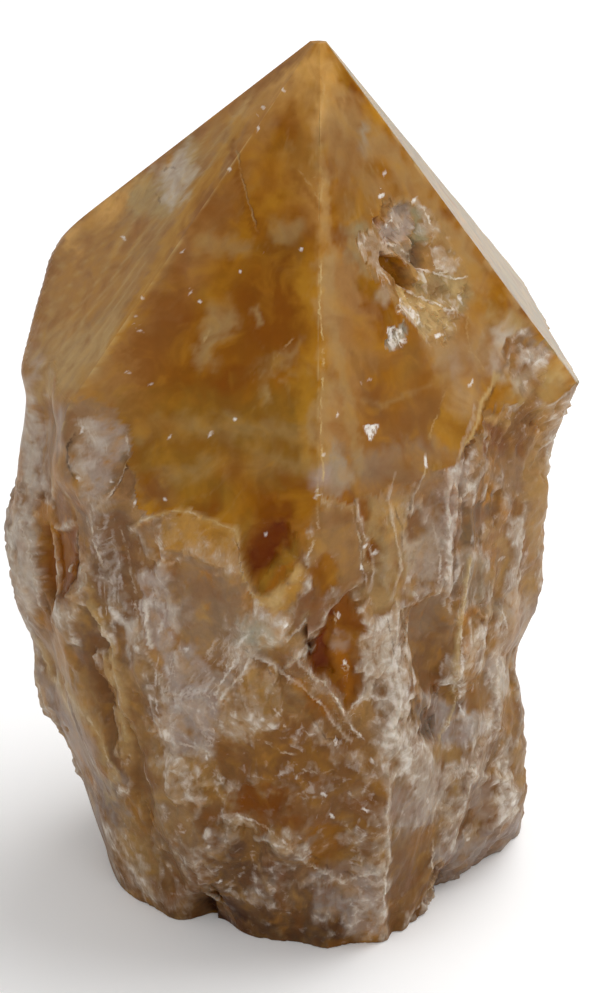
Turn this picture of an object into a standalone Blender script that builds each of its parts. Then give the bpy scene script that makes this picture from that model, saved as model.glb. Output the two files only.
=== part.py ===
"""Orchid calcite point: one natural block with a rough, tapering body, six polished faces that meet
in an off-centre tip, and a flat cut base to stand on.

Run with: blender --background --python part.py

The stone is worked the way a real one is. A rough block is built as a column of radii round the
tip's own vertical axis, its base is sawn flat, six planes through the tip grind the polished faces,
and the natural hollows are then carved out of it. Lengths are millimetres until the mesh is made.
"""

import math

import bmesh
import bpy
import numpy as np
from mathutils import Matrix, Vector, noise

MM = 0.001  # metres in a millimetre

# Driving sizes
TIP_HEIGHT = 115.5
TIP_WEAR = 1.0  # the six ground faces would meet this much higher
TIP_WORN_TOWARDS = (0.12, -0.2, 1.0)
AROUND = 200  # columns of the rough block
ROW_STEP = 1.2  # height of one row of the rough block
FACETS_KEPT = 0.26  # share of the block's chips kept once the nearly flat ones are merged
BLOCK_TOP = 86.0  # the rough block carries on above this as a plain prism, all of it ground away
BELOW_BASE = 2.0

# Heights at which the radius of each rough corner of the block is given
LEVELS = (-2, 0, 8, 16, 24, 32, 40, 48, 56, 64, 72, 80, 88)
# Corner: (direction round the tip's axis in degrees, +X is 0 and the front is -90, radii at LEVELS)
CORNERS = (
    (-153, (27.2, 27.7, 30.8, 33.0, 34.2, 35.2, 35.8, 36.0, 35.4, 34.6, 33.0, 32.4, 32.4)),
    (-126, (24.8, 25.3, 28.0, 30.0, 31.4, 31.8, 32.4, 32.6, 32.4, 32.2, 33.0, 34.0, 34.0)),
    (-97, (24.2, 24.7, 26.6, 28.4, 29.6, 30.2, 30.8, 32.0, 32.6, 33.6, 35.0, 35.0, 35.0)),
    (-70, (24.2, 24.6, 26.4, 27.8, 28.6, 28.8, 28.6, 27.8, 26.4, 24.8, 24.6, 26.0, 28.0)),
    (-37, (20.6, 21.2, 23.2, 24.2, 24.8, 25.2, 25.2, 25.0, 24.8, 24.6, 24.6, 26.0, 28.0)),
    (-3, (24.4, 25.0, 27.6, 28.8, 27.4, 27.6, 30.8, 31.0, 31.2, 29.4, 33.8, 36.0, 37.0)),
    (16, (28.8, 29.0, 29.4, 29.4, 28.4, 28.4, 29.6, 30.0, 30.4, 31.2, 33.0, 34.0, 35.0)),
    (42, (27.0, 27.4, 28.8, 29.8, 30.4, 30.8, 31.2, 31.6, 32.2, 33.2, 35.2, 36.0, 37.0)),
    (97, (27.0, 27.4, 29.2, 30.6, 31.8, 32.4, 32.8, 33.4, 33.8, 34.2, 34.6, 35.0, 35.0)),
    (148, (29.0, 29.5, 31.8, 34.0, 35.6, 36.6, 37.8, 38.6, 39.0, 39.2, 39.4, 39.6, 39.6)),
    (179, (28.2, 28.8, 33.2, 35.8, 37.4, 37.8, 41.2, 43.4, 41.4, 38.2, 37.4, 37.6, 38.0)),
)
CORNER_ROUNDING = 3.0  # degrees, how far the block's corners are worn round
BLUR_REACH = 5

# Corners of the polished pyramid, each where two neighbouring ground faces and the block meet
PYRAMID = (
    (-30.8, -15.0, 73.8),
    (-0.3, -31.0, 65.6),
    (33.6, -2.0, 70.0),
    (26.3, 22.0, 77.0),
    (-4.0, 33.0, 74.0),
    (-34.6, 19.0, 82.9),
)

# Relief of the broken surface
RIB_DEPTH = 0.8
RIB_WIDTH = 10.0
RIB_LENGTH = 34.0
RIB_LEAN = 0.22  # how far a rib leans in towards the front as it goes down, per unit of height
PLATE_WIDTH = 11.0  # flat chips left where the crystal has split
PLATE_HEIGHT = 19.0
PLATE_OFFSET = 2.0
PLATE_TILT = 4.5
PLATE_EDGE = 0.24  # how soft the break between two chips is, in units of the chips' spacing
LUMP_DEPTH = 0.4
LUMP_SIZE = 8.0

# Bosses and hollows of the block itself: direction, height, half width, half height, lean, depth.
# A positive depth stands out of the block.
BOSSES = (
    (-151, 66, 5.5, 6.0, 0.0, 1.4),  # pale knob under the left face
    (-163, 49, 3.0, 6.5, 0.2, -2.6),  # brown groove below the knob
    (-139, 26, 3.0, 17.0, 0.25, -1.4),  # long flute, left
    (-157, 20, 2.6, 14.0, 0.3, -1.3),
    (-19, 66, 5.5, 10.0, 0.3, -1.6),  # broken corner under the front right face
    (-58, 43, 4.0, 8.0, 0.1, -2.2),  # smooth brown recess
    (-52, 32, 5.5, 4.5, 0.0, -2.0),  # niche of grey crystals
    (-92, 24, 12.0, 9.0, 0.0, 1.6),  # front shoulder
    (-126, 1, 3.4, 5.0, 0.0, -4.4),  # notch in the base
    (-36, 2, 3.0, 4.0, 0.0, -1.6),
    (60, 46, 10.0, 5.0, 0.3, 1.8),
    (84, 58, 3.0, 8.0, 0.2, -2.4),
    (120, 30, 4.0, 14.0, -0.2, -2.0),
    (105, 12, 8.0, 6.0, 0.1, 1.6),
    (28, 18, 3.0, 12.0, 0.2, -1.8),
    (142, 62, 8.0, 7.0, 0.0, 1.4),
    (165, 40, 3.0, 11.0, 0.3, -1.6),
    (70, 3, 4.0, 4.0, 0.0, -3.0),
)

STEP_RAMP = 1.3
# Broken steps. Each runs through (direction, height) points; the stone on the left of the line,
# seen from outside with the line drawn upwards, stands out by the rise and falls back over the fade.
STEPS = (
    (((-106, 53), (-107, 60), (-114, 63), (-124, 64.4), (-138, 65)), 1.5, 7.0),  # lip
    (((-98, 49), (-90, 51.5), (-82, 54.5)), 1.4, 4.0),  # plate over the cleft
    (((-50, 41), (-39, 50), (-37, 60), (-31, 66), (-22, 72), (-8, 79)), 1.6, 5.0),  # seam
    (((-68, 3), (-72, 14), (-71, 31)), 1.5, 5.0),  # upright edge
    (((-82, 32.5), (-95, 39), (-106, 46.5)), 1.1, 6.0),  # slanting break, front
    (((-132, 24), (-118, 22), (-103, 18)), 1.2, 4.5),  # ledge
    (((-142, 57), (-134, 41), (-126, 26)), 1.0, 6.0),  # long flute edge
    (((-20, 22), (-8, 33), (-14, 46)), 1.2, 5.0),
    (((62, 28), (66, 50), (58, 68)), 1.6, 7.0),
    (((112, 50), (128, 46), (150, 55)), 1.6, 6.0),
    (((92, 18), (120, 25), (142, 19)), 1.5, 7.0),
    (((20, 40), (34, 52), (30, 66)), 1.2, 6.0),
)

# Carved hollows: name, centre in mm, the way it opens, the way it runs,
# and its half width, half length and depth in mm
HOLLOWS = (
    ("crystal_pocket", (10.2, -7.2, 91.2), (0.56, -0.71, 0.44), (0.45, -0.09, -0.86), (2.3, 4.8, 3.4)),
    ("pocket_slot", (13.4, -8.6, 86.2), (0.56, -0.71, 0.44), (-0.2, -0.5, -0.84), (1.5, 3.0, 1.8)),
    ("corner_chip", (26.4, -6.0, 74.6), (0.56, -0.71, 0.44), (0.18, -0.40, -0.9), (5.8, 8.4, 1.1)),
    ("amber_scoop", (-6.8, -32.0, 59.4), (-0.25, -0.9, 0.3), (0.25, 0.1, 1.0), (3.9, 6.0, 4.2)),
    ("amber_window", (1.1, -31.4, 57.0), (0.0, -1.0, 0.1), (0.5, 0.0, 1.0), (1.8, 3.2, 2.2)),
    ("deep_cleft", (0.4, -30.8, 47.5), (0.05, -1.0, 0.1), (-0.1, 0.0, 1.0), (2.1, 7.2, 3.4)),
    ("back_pocket", (-17.0, 31.0, 57.0), (-0.5, 0.87, 0.0), (1.0, 0.5, 0.3), (3.2, 5.2, 3.6)),
)
HOLLOW_ROUGHNESS = 0.34

CALCITE_COLOUR = (0.47, 0.27, 0.10, 1.0)
CALCITE_ROUGHNESS = 0.42
CALCITE_IOR = 1.56


def corner_radii(heights):
    """Radius of each rough corner at every height, one row a height."""
    return np.array([np.interp(heights, LEVELS, radii) for _, radii in CORNERS]).T


def polygon_radius(angles, corners):
    """Radius at each angle of the straight-sided polygon through the corners' radii."""
    turns = np.radians([direction for direction, _ in CORNERS])
    turns = np.append(turns, turns[0] + math.tau)
    corners = np.append(corners, corners[0])
    angles = (angles - turns[0]) % math.tau + turns[0]
    side = np.clip(np.searchsorted(turns, angles, side="right") - 1, 0, len(CORNERS) - 1)
    start, end = turns[side], turns[side + 1]
    near, far = corners[side], corners[side + 1]
    return near * far * np.sin(end - start) / (near * np.sin(angles - start) + far * np.sin(end - angles))


def rounded(rows, columns_wide, rows_high):
    """The grid of radii blurred round the block and up it, which wears its corners down."""
    for axis, reach in ((1, columns_wide), (0, rows_high)):
        shifts = np.arange(-BLUR_REACH, BLUR_REACH + 1)
        weights = np.exp(-0.5 * (shifts / reach) ** 2)
        weights /= weights.sum()
        if axis == 1:
            rows = sum(w * np.roll(rows, s, axis=1) for w, s in zip(weights, shifts))
        else:
            padded = np.pad(rows, ((BLUR_REACH, BLUR_REACH), (0, 0)), mode="edge")
            starts = shifts + BLUR_REACH
            rows = sum(w * padded[start : start + len(rows)] for w, start in zip(weights, starts))
    return rows


def plate_level(spot, seed):
    """Level at a spot of the flat chip that belongs to a seed. Each chip has its own offset and tilt."""
    own = noise.cell_vector(seed * 31.7) - Vector((0.5, 0.5, 0.5))
    tilt = noise.cell_vector(seed * 17.3 + Vector((5.0, 9.0, 2.0))) - Vector((0.5, 0.5, 0.5))
    return PLATE_OFFSET * own.z + PLATE_TILT * tilt.dot(spot - seed)


def plates(place):
    """Flat, tilted chips that break off sharply against each other, in mm."""
    spot = Vector((place.x / PLATE_WIDTH, place.y / PLATE_WIDTH, place.z / PLATE_HEIGHT))
    distances, seeds = noise.voronoi(spot)
    share = 0.5 + 0.5 * min(1.0, (distances[1] - distances[0]) / PLATE_EDGE)
    return share * plate_level(spot, seeds[0]) + (1.0 - share) * plate_level(spot, seeds[1])


def relief(angle, height, radius):
    """How far the broken surface stands out of the worn block, in mm."""
    place = Vector((radius * math.cos(angle), radius * math.sin(angle), height))
    lean = -RIB_LEAN * math.cos(angle) * (height - 60.0) / radius
    around = Vector((radius * math.cos(angle + lean), radius * math.sin(angle + lean), 0.0)) / RIB_WIDTH
    rib = noise.noise(around + Vector((0, 0, height / RIB_LENGTH)))
    fine_rib = noise.noise(around * 2.0 + Vector((7.0, 3.0, height / RIB_LENGTH * 1.8)))
    ribs = 0.5 - 2.2 * abs(rib) + 0.3 * (0.5 - 2.2 * abs(fine_rib))
    lump = noise.noise(place / LUMP_SIZE + Vector((9.0, 2.0, 5.0)))
    return RIB_DEPTH * ribs + plates(place) + LUMP_DEPTH * lump


def step_relief(angles, height, radii):
    """What the broken steps add to one row of radii, in mm."""
    added = np.zeros_like(angles)
    for points, rise, fade in STEPS:
        nearest = np.full_like(angles, np.inf)
        level = np.zeros_like(angles)
        for (from_turn, from_height), (to_turn, to_height) in zip(points, points[1:]):
            turn = (angles - math.radians(from_turn) + math.pi) % math.tau - math.pi
            across, up = turn * radii, height - from_height
            run = math.radians(to_turn - from_turn) * radii
            climb = to_height - from_height
            along = np.clip((across * run + up * climb) / (run**2 + climb**2), 0, 1)
            away = np.hypot(across - along * run, up - along * climb)
            raised = run * up - climb * across > 0
            drop = rise * raised * np.minimum(away / STEP_RAMP, 1.0) * np.exp(-away / fade)
            level = np.where(away < nearest, drop, level)
            nearest = np.minimum(away, nearest)
        added += level
    return added


def boss_relief(angles, height, radii):
    """What the named bosses and hollows add to one row of radii, in mm."""
    added = np.zeros_like(angles)
    for direction, middle, half_width, half_height, lean, depth in BOSSES:
        rise = height - middle
        turn = (angles - math.radians(direction) + math.pi) % math.tau - math.pi
        across = (turn * radii + lean * rise) / half_width
        fade = np.clip(1.0 - (across**2 + (rise / half_height) ** 2), 0.0, 1.0)
        added += depth * fade * (2.0 - fade)
    return added


def to_object(name, mesh_data, scale):
    mesh = bpy.data.meshes.new(name)
    mesh_data.to_mesh(mesh)
    mesh_data.free()
    mesh.transform(Matrix.Scale(scale, 4))
    made = bpy.data.objects.new(name, mesh)
    bpy.context.scene.collection.objects.link(made)
    return made


def rough_block():
    """The broken block before any grinding: closed, and taller than the finished stone."""
    heights = np.arange(-BELOW_BASE, BLOCK_TOP + 0.1, ROW_STEP)
    angles = np.arange(AROUND) * math.tau / AROUND - math.pi
    rows = np.array([polygon_radius(angles, corners) for corners in corner_radii(heights)])
    rows = rounded(rows, CORNER_ROUNDING / (360 / AROUND), 1.7)
    for height, row in zip(heights, rows):
        broken = [relief(angle, height, radius) for angle, radius in zip(angles, row)]
        row += np.array(broken) + boss_relief(angles, height, row) + step_relief(angles, height, row)
    heights = np.append(heights, TIP_HEIGHT + 5.0)
    rows = np.vstack([rows, rows[-1]])

    block = bmesh.new()
    rings = [
        [
            block.verts.new((radius * math.cos(angle), radius * math.sin(angle), height))
            for angle, radius in zip(angles, row)
        ]
        for height, row in zip(heights, rows)
    ]
    for lower, upper in zip(rings, rings[1:]):
        for i in range(AROUND):
            j = (i + 1) % AROUND
            block.faces.new((lower[i], lower[j], upper[j], upper[i]))
    block.faces.new(reversed(rings[0]))
    block.faces.new(rings[-1])
    bmesh.ops.triangulate(block, faces=block.faces, quad_method="SHORT_EDGE")
    return chipped(block)


def chipped(block):
    """The block with its nearly flat patches merged into larger chips, which keeps its edges crisp."""
    made = to_object("rough_block", block, 1.0)
    merge = made.modifiers.new("merge", "DECIMATE")
    merge.ratio = FACETS_KEPT
    merged = bmesh.new()
    merged.from_object(made, bpy.context.evaluated_depsgraph_get())
    bpy.data.objects.remove(made)
    return merged


def cut_away(block, point, outward):
    """Cuts off everything on the outward side of a plane and closes the cut with one flat face."""
    everything = block.verts[:] + block.edges[:] + block.faces[:]
    cut = bmesh.ops.bisect_plane(
        block,
        geom=everything,
        plane_co=point,
        plane_no=outward,
        clear_outer=True,
    )
    rim = [item for item in cut["geom_cut"] if isinstance(item, bmesh.types.BMEdge)]
    bmesh.ops.edgeloop_fill(block, edges=rim)


def ground_planes(tip):
    """Outward normals of the six ground faces, each through the tip and two pyramid corners."""
    for first, second in zip(PYRAMID, PYRAMID[1:] + PYRAMID[:1]):
        yield (Vector(first) - tip).cross(Vector(second) - tip).normalized()


def ground_stone():
    """The rough block with its base sawn flat and its six top faces ground and polished."""
    block = rough_block()
    cut_away(block, Vector((0, 0, 0)), Vector((0, 0, -1)))
    tip = Vector((0, 0, TIP_HEIGHT + TIP_WEAR))
    for outward in ground_planes(tip):
        cut_away(block, tip, outward)
    cut_away(block, Vector((0, 0, TIP_HEIGHT)), Vector(TIP_WORN_TOWARDS).normalized())
    bmesh.ops.dissolve_degenerate(block, edges=block.edges, dist=0.02)
    bmesh.ops.recalc_face_normals(block, faces=block.faces)
    return block


def hollow_cutter(name, centre, opening, run, half_sizes):
    """A blunt, faceted lump that leaves a crystal hollow where it is taken out of the stone."""
    deep = Vector(opening).normalized()
    wide = Vector(run).cross(deep).normalized()
    turn = Matrix((wide, deep.cross(wide), deep)).transposed().to_4x4()
    lump = bmesh.new()
    bmesh.ops.create_icosphere(lump, subdivisions=2, radius=1.0)
    for vertex in lump.verts:
        vertex.co *= 1.0 + HOLLOW_ROUGHNESS * noise.noise(vertex.co * 1.7 + Vector(centre))
    lump.transform(Matrix.Translation(centre) @ turn @ Matrix.Diagonal((*half_sizes, 1.0)))
    cutter = to_object(name, lump, MM)
    cutter.hide_render = True
    cutter.display_type = "WIRE"
    return cutter


def calcite():
    """Waxy, honey-brown calcite."""
    material = bpy.data.materials.new("calcite")
    material.use_nodes = True
    surface = material.node_tree.nodes["Principled BSDF"]
    surface.inputs["Base Color"].default_value = CALCITE_COLOUR
    surface.inputs["Roughness"].default_value = CALCITE_ROUGHNESS
    surface.inputs["IOR"].default_value = CALCITE_IOR
    surface.inputs["Metallic"].default_value = 0.0
    return material


def centre_on_base(mesh):
    """Moves the mesh so that the middle of its footprint box is over the origin, with the base at zero."""
    points = np.empty(len(mesh.vertices) * 3, np.float32)
    mesh.vertices.foreach_get("co", points)
    points = points.reshape(-1, 3)
    middle = (points.min(axis=0) + points.max(axis=0)) / 2
    shift = Vector((-float(middle[0]), -float(middle[1]), -float(points[:, 2].min())))
    mesh.transform(Matrix.Translation(shift))
    return shift


def main():
    for left_over in list(bpy.data.objects):
        bpy.data.objects.remove(left_over)
    stone = to_object("calcite_point", ground_stone(), MM)
    shift = centre_on_base(stone.data)
    stone.data.materials.append(calcite())
    for name, centre, opening, run, half_sizes in HOLLOWS:
        cutter = hollow_cutter(name, centre, opening, run, half_sizes)
        cutter.location = shift
        carve = stone.modifiers.new(name, "BOOLEAN")
        carve.operation = "DIFFERENCE"
        carve.object = cutter


main()
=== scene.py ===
"""Looks of the orchid calcite point: one honey-brown stone, polished at the tip and broken below.

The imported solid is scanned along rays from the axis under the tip. The scan becomes a fine mesh that
keeps the solid's polished faces and adds the splinters, fibres, pits and cracks of the broken part.
A colour is worked out for every point from what the surface does there and from painted patches,
whose places are pixels of the photograph. Lengths are millimetres unless a name says otherwise.
"""

import itertools
import math

import bpy
import numpy as np
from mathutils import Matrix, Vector
from mathutils.bvhtree import BVHTree


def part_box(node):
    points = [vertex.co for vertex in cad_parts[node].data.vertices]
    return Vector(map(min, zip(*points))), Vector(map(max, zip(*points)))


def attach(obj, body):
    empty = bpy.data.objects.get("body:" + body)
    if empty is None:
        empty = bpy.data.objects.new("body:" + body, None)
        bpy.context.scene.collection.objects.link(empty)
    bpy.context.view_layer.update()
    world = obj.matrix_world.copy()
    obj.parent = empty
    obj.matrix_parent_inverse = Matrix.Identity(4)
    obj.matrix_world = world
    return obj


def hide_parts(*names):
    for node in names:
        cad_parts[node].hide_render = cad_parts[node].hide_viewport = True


MM = 0.001  # metres in a millimetre

# The photograph's camera, with the tip's axis as its origin
PHOTO_SIZE = (600, 993)
VIEW_ELEVATION = math.radians(25)
VIEW_DISTANCE = 430.0
VIEW_TARGET = (-2.46, 0.0, 53.6)
FOCAL_PIXELS = 3276.6
SENSOR_MM = 36.0

# The scan's grid: columns are directions from the axis under the tip, and rows are heights
FIRST_COLUMN, FRONT = math.radians(-196), math.radians(-92)
COLUMNS, BACK_CROWD = 400, 0.5  # columns stand closer in front, where the photograph looks
ROWS, LOWEST_ROW, HIGHEST_ROW = 240, 0.12, 115.35
ROW_CROWDS = ((0, 0.9), (30, 1.0), (40, 1.35), (80, 1.35), (92, 1.1), (115, 0.7))  # height, closeness
BASE_RINGS = (0.93, 0.75, 0.4)  # the underside's rings, as shares of the lowest row's reach
SUMMIT_ABOVE = 0.2  # the tip's height over the highest row
SHARP_ANGLE = math.radians(32)
EDGE_WEAR = 0.18  # worn off the edges between the polished faces
# The narrow face beyond the right edge is grey-green by painted reflection.
RIGHT_EDGE = math.radians(-3.4)  # direction of the edge at the right, with a narrow face beyond it
REFLECTION_SIDE = math.radians(44)  # how far that face reaches
# Here the solid's hollows give way to the pocket's finer ones
POCKET_ABOVE = 78.5
POCKET_TOWARDS, POCKET_SPREAD = math.radians(-45), math.radians(40)
# The smooth shoulder under the left face's edge
SHOULDER_TOWARDS, SHOULDER_SPREAD = math.radians(180), math.radians(32)
SHOULDER_STARTS, SHOULDER_FADE = (58, 66), 0.25  # heights, and how softly its sides end
SHOULDER_ROUND, SHOULDER_BULGE, BULGE_STARTS = 0.25, 0.7, (66.5, 71)
WORN_CORNER = ((82, 212), (43, 262))  # a line in pixels, beyond which the left face is worn away
MM_IN_PIXEL = 0.14  # at the stone
OFF_THE_FACE = 0.06  # the stone is broken where it lies this deep below its polished faces
LEAST_DEPTH = 0.12  # of the broken surface below the polished faces
LEFT_EDGE = (-30.8, -15.0, -42.7)  # the way of the left face's streaks


# Noise --------------------------------------------------------------------------------------------


def lattice(places, seed):
    """A repeatable random number from 0 to 1 for each whole-numbered place."""
    x, y, z = places
    scrambled = (x * 73856093) ^ (y * 19349663) ^ (z * 83492791) ^ (seed * 2654435761)
    scrambled &= 0xFFFFFFFF
    scrambled = ((scrambled ^ (scrambled >> 13)) * 1274126177) & 0xFFFFFFFF
    scrambled = ((scrambled ^ (scrambled >> 16)) * 2246822519) & 0xFFFFFFFF
    return (scrambled >> 8) / 0xFFFFFF


def noise(points, size, seed=0):
    """Smooth noise from about -1 to 1. size is the width of its features, one number or three."""
    points = points / np.asarray(size, float)
    cell = np.floor(points)
    inside = points - cell
    fade = inside**3 * (inside * (inside * 6 - 15) + 10)
    cell = cell.astype(np.int64)
    total = np.zeros(points.shape[:-1])
    for corner in itertools.product((0, 1), repeat=3):
        places = [cell[..., axis] + corner[axis] for axis in range(3)]
        weight = np.ones(points.shape[:-1])
        slope = np.zeros(points.shape[:-1])
        for axis in range(3):
            weight *= fade[..., axis] if corner[axis] else 1 - fade[..., axis]
            pull = 2 * lattice(places, seed * 3 + axis) - 1
            slope += pull * (inside[..., axis] - corner[axis])
        total += weight * slope
    return 1.7 * total


def layered(points, size, seed=0, layers=3, share=0.5):
    """Noise with finer and weaker layers on top."""
    total, weight, size = 0.0, 1.0, np.asarray(size, float)
    for layer in range(layers):
        total = total + weight * noise(points, size, seed + 17 * layer)
        size, weight = size * 0.5, weight * share
    return total


def chips(points, size, seed=0):
    """(level, gap, kind) of tilted chips: level about -1 to 1, gap 0 at the breaks, kind 0 to 1."""
    points = points / np.asarray(size, float)
    cell = np.floor(points).astype(np.int64)
    shape = points.shape[:-1]
    near, second = np.full(shape, 9.0), np.full(shape, 9.0)
    level, kind = np.zeros(shape), np.zeros(shape)
    for step in itertools.product((-1, 0, 1), repeat=3):
        places = [cell[..., axis] + step[axis] for axis in range(3)]
        away = [points[..., axis] - places[axis] - lattice(places, seed + axis) for axis in range(3)]
        distance = np.sqrt(away[0] ** 2 + away[1] ** 2 + away[2] ** 2)
        tilted = 2 * lattice(places, seed + 3) - 1
        for axis in range(3):
            tilted = tilted + 2.2 * (lattice(places, seed + 4 + axis) - 0.5) * away[axis]
        closer = distance < near
        level = np.where(closer, tilted, level)
        kind = np.where(closer, lattice(places, seed + 7), kind)
        second = np.where(closer, near, np.minimum(second, distance))
        near = np.where(closer, distance, near)
    return level, second - near, kind


def smooth(value, low, high):
    """0 at low, 1 at high and a soft ramp between. low may be the larger of the two."""
    ramp = np.clip((value - low) / (high - low), 0, 1)
    return ramp * ramp * (3 - 2 * ramp)


def mixed(first, second, share):
    """The first, with this share of the second."""
    return first * (1 - share) + second * share


# Scan of the solid --------------------------------------------------------------------------------


def triangles_of(mesh):
    """(points in mm, each triangle's three points) of a mesh."""
    mesh.calc_loop_triangles()
    points = np.empty(len(mesh.vertices) * 3)
    mesh.vertices.foreach_get("co", points)
    corners = np.empty(len(mesh.loop_triangles) * 3, np.int32)
    mesh.loop_triangles.foreach_get("vertices", corners)
    return points.reshape(-1, 3) / MM, corners.reshape(-1, 3)


def polished_planes(points, corners):
    """(normals, tip) of the six ground faces: the largest flat faces that look up, and where they meet."""
    first, second, third = (points[corners[:, i]] for i in range(3))
    cross = np.cross(second - first, third - first)
    area = np.linalg.norm(cross, axis=1) / 2
    normals = cross / (2 * area[:, None] + 1e-12)
    offsets = (normals * first).sum(axis=1)
    looks_up = (normals[:, 2] > 0.3) & (normals[:, 2] < 0.9)
    planes = []
    for seed in np.argsort(-area * looks_up)[:80]:
        flat = (np.abs(normals - normals[seed]).max(axis=1) < 4e-3) & looks_up
        flat &= np.abs(offsets - offsets[seed]) < 0.15
        total = area[flat].sum()
        normal = (normals[flat] * area[flat, None]).sum(axis=0) / total
        offset = (offsets[flat] * area[flat]).sum() / total
        if not any(np.dot(normal, known) > 0.995 for _, known, _ in planes):
            planes.append((total, normal, offset))
    planes = sorted(planes, key=lambda plane: -plane[0])[:6]
    normals = np.array([plane[1] for plane in planes])
    tip = np.linalg.lstsq(normals, np.array([plane[2] for plane in planes]), rcond=None)[0]
    order = np.argsort(np.arctan2(normals[:, 1], normals[:, 0]))
    return normals[order], tip


def crowded(low, high, count, closeness):
    """This many numbers from low to high, closer together where closeness is higher."""
    fine = np.linspace(low, high, 20 * count)
    share = np.concatenate([[0], np.cumsum(closeness(fine))[:-1]])
    return np.interp(np.linspace(0, share[-1], count), share, fine)


def column_angles(normals):
    """(angles, edges): directions of the scan's columns, and which of them lie on polished edges."""
    angles = crowded(FIRST_COLUMN, FIRST_COLUMN + math.tau, COLUMNS + 1,
                     lambda angle: BACK_CROWD + np.clip(np.cos(angle - FRONT), 0, None))[:-1]
    edges = []
    for first, second in zip(normals, np.roll(normals, -1, axis=0)):
        edge = np.cross(first, second)
        edge *= -np.sign(edge[2])
        direction = math.atan2(edge[1], edge[0])
        direction = FIRST_COLUMN + (direction - FIRST_COLUMN) % math.tau
        edges.append(np.abs(angles - direction).argmin())
        angles[edges[-1]] = direction
    return angles, edges


def scan(points, corners, tip, angles, heights):
    """Distance from the tip's axis to the solid's surface, one row a height and one column a direction."""
    solid = BVHTree.FromPolygons([Vector(point) for point in points], corners.tolist())
    reach = np.zeros((len(heights), len(angles)))
    ways = [Vector((math.cos(angle), math.sin(angle), 0)) for angle in angles]
    for row, height in enumerate(heights):
        axis = Vector((tip[0], tip[1], height))
        for column, way in enumerate(ways):
            hit = solid.ray_cast(axis, way)[3] or solid.ray_cast(axis + Vector((0, 0, 0.01)), way)[3]
            reach[row, column] = hit or reach[row - 1, column]
    return reach


def reach_of_faces(normals, tip, angles, heights):
    """Distance from the tip's axis to the polished faces, as if they ran on down to the base."""
    across = np.stack([np.cos(angles), np.sin(angles)])
    facing = np.clip(normals[:, :2] @ across, 1e-6, None)
    room = (normals[:, 2:] / facing).min(axis=0)
    return (tip[2] - heights)[:, None] * room[None, :]


def around_axis(reach, angles, heights):
    """Points of the grid at this distance from the tip's axis."""
    upward = np.repeat(heights[:, None], len(angles), axis=1)
    return np.stack([reach * np.cos(angles), reach * np.sin(angles), upward], axis=-1)


def blurred(values, rows, columns):
    """Values blurred over this many rows and columns, round the stone without a seam."""
    for axis, spread in ((1, columns), (0, rows)):
        width = max(1, math.ceil(2.5 * spread))
        shifts = np.arange(-width, width + 1)
        weights = np.exp(-0.5 * (shifts / spread) ** 2)
        weights /= weights.sum()
        mode = "wrap" if axis == 1 else "edge"
        pad = [(0, 0), (0, 0)]
        pad[axis] = (width, width)
        padded = np.pad(values, pad, mode=mode)
        size = values.shape[axis]
        values = sum(w * np.take(padded, np.arange(s + width, s + width + size), axis=axis)
                     for w, s in zip(weights, shifts))
    return values


# Photograph's pixels ------------------------------------------------------------------------------


def camera_axes():
    """Forward, up and right of the photograph's camera."""
    level, rise = math.cos(VIEW_ELEVATION), math.sin(VIEW_ELEVATION)
    return np.array([0, level, -rise]), np.array([0, rise, level]), np.array([1.0, 0, 0])


def to_pixels(points):
    """Pixel of the photograph where each point shows. Points are measured from the tip's axis."""
    forward, up, right = camera_axes()
    offset = points - (np.array(VIEW_TARGET) - VIEW_DISTANCE * forward)
    deep = offset @ forward
    across = PHOTO_SIZE[0] / 2 + FOCAL_PIXELS * (offset @ right) / deep
    down = PHOTO_SIZE[1] / 2 - FOCAL_PIXELS * (offset @ up) / deep
    return across, down


def turned_normals(points):
    """Outward normals of the grid of points."""
    across = np.roll(points, -1, axis=1) - np.roll(points, 1, axis=1)
    up = np.gradient(points, axis=0)
    cross = np.cross(across, up)
    return cross / (np.linalg.norm(cross, axis=-1, keepdims=True) + 1e-12)


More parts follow.
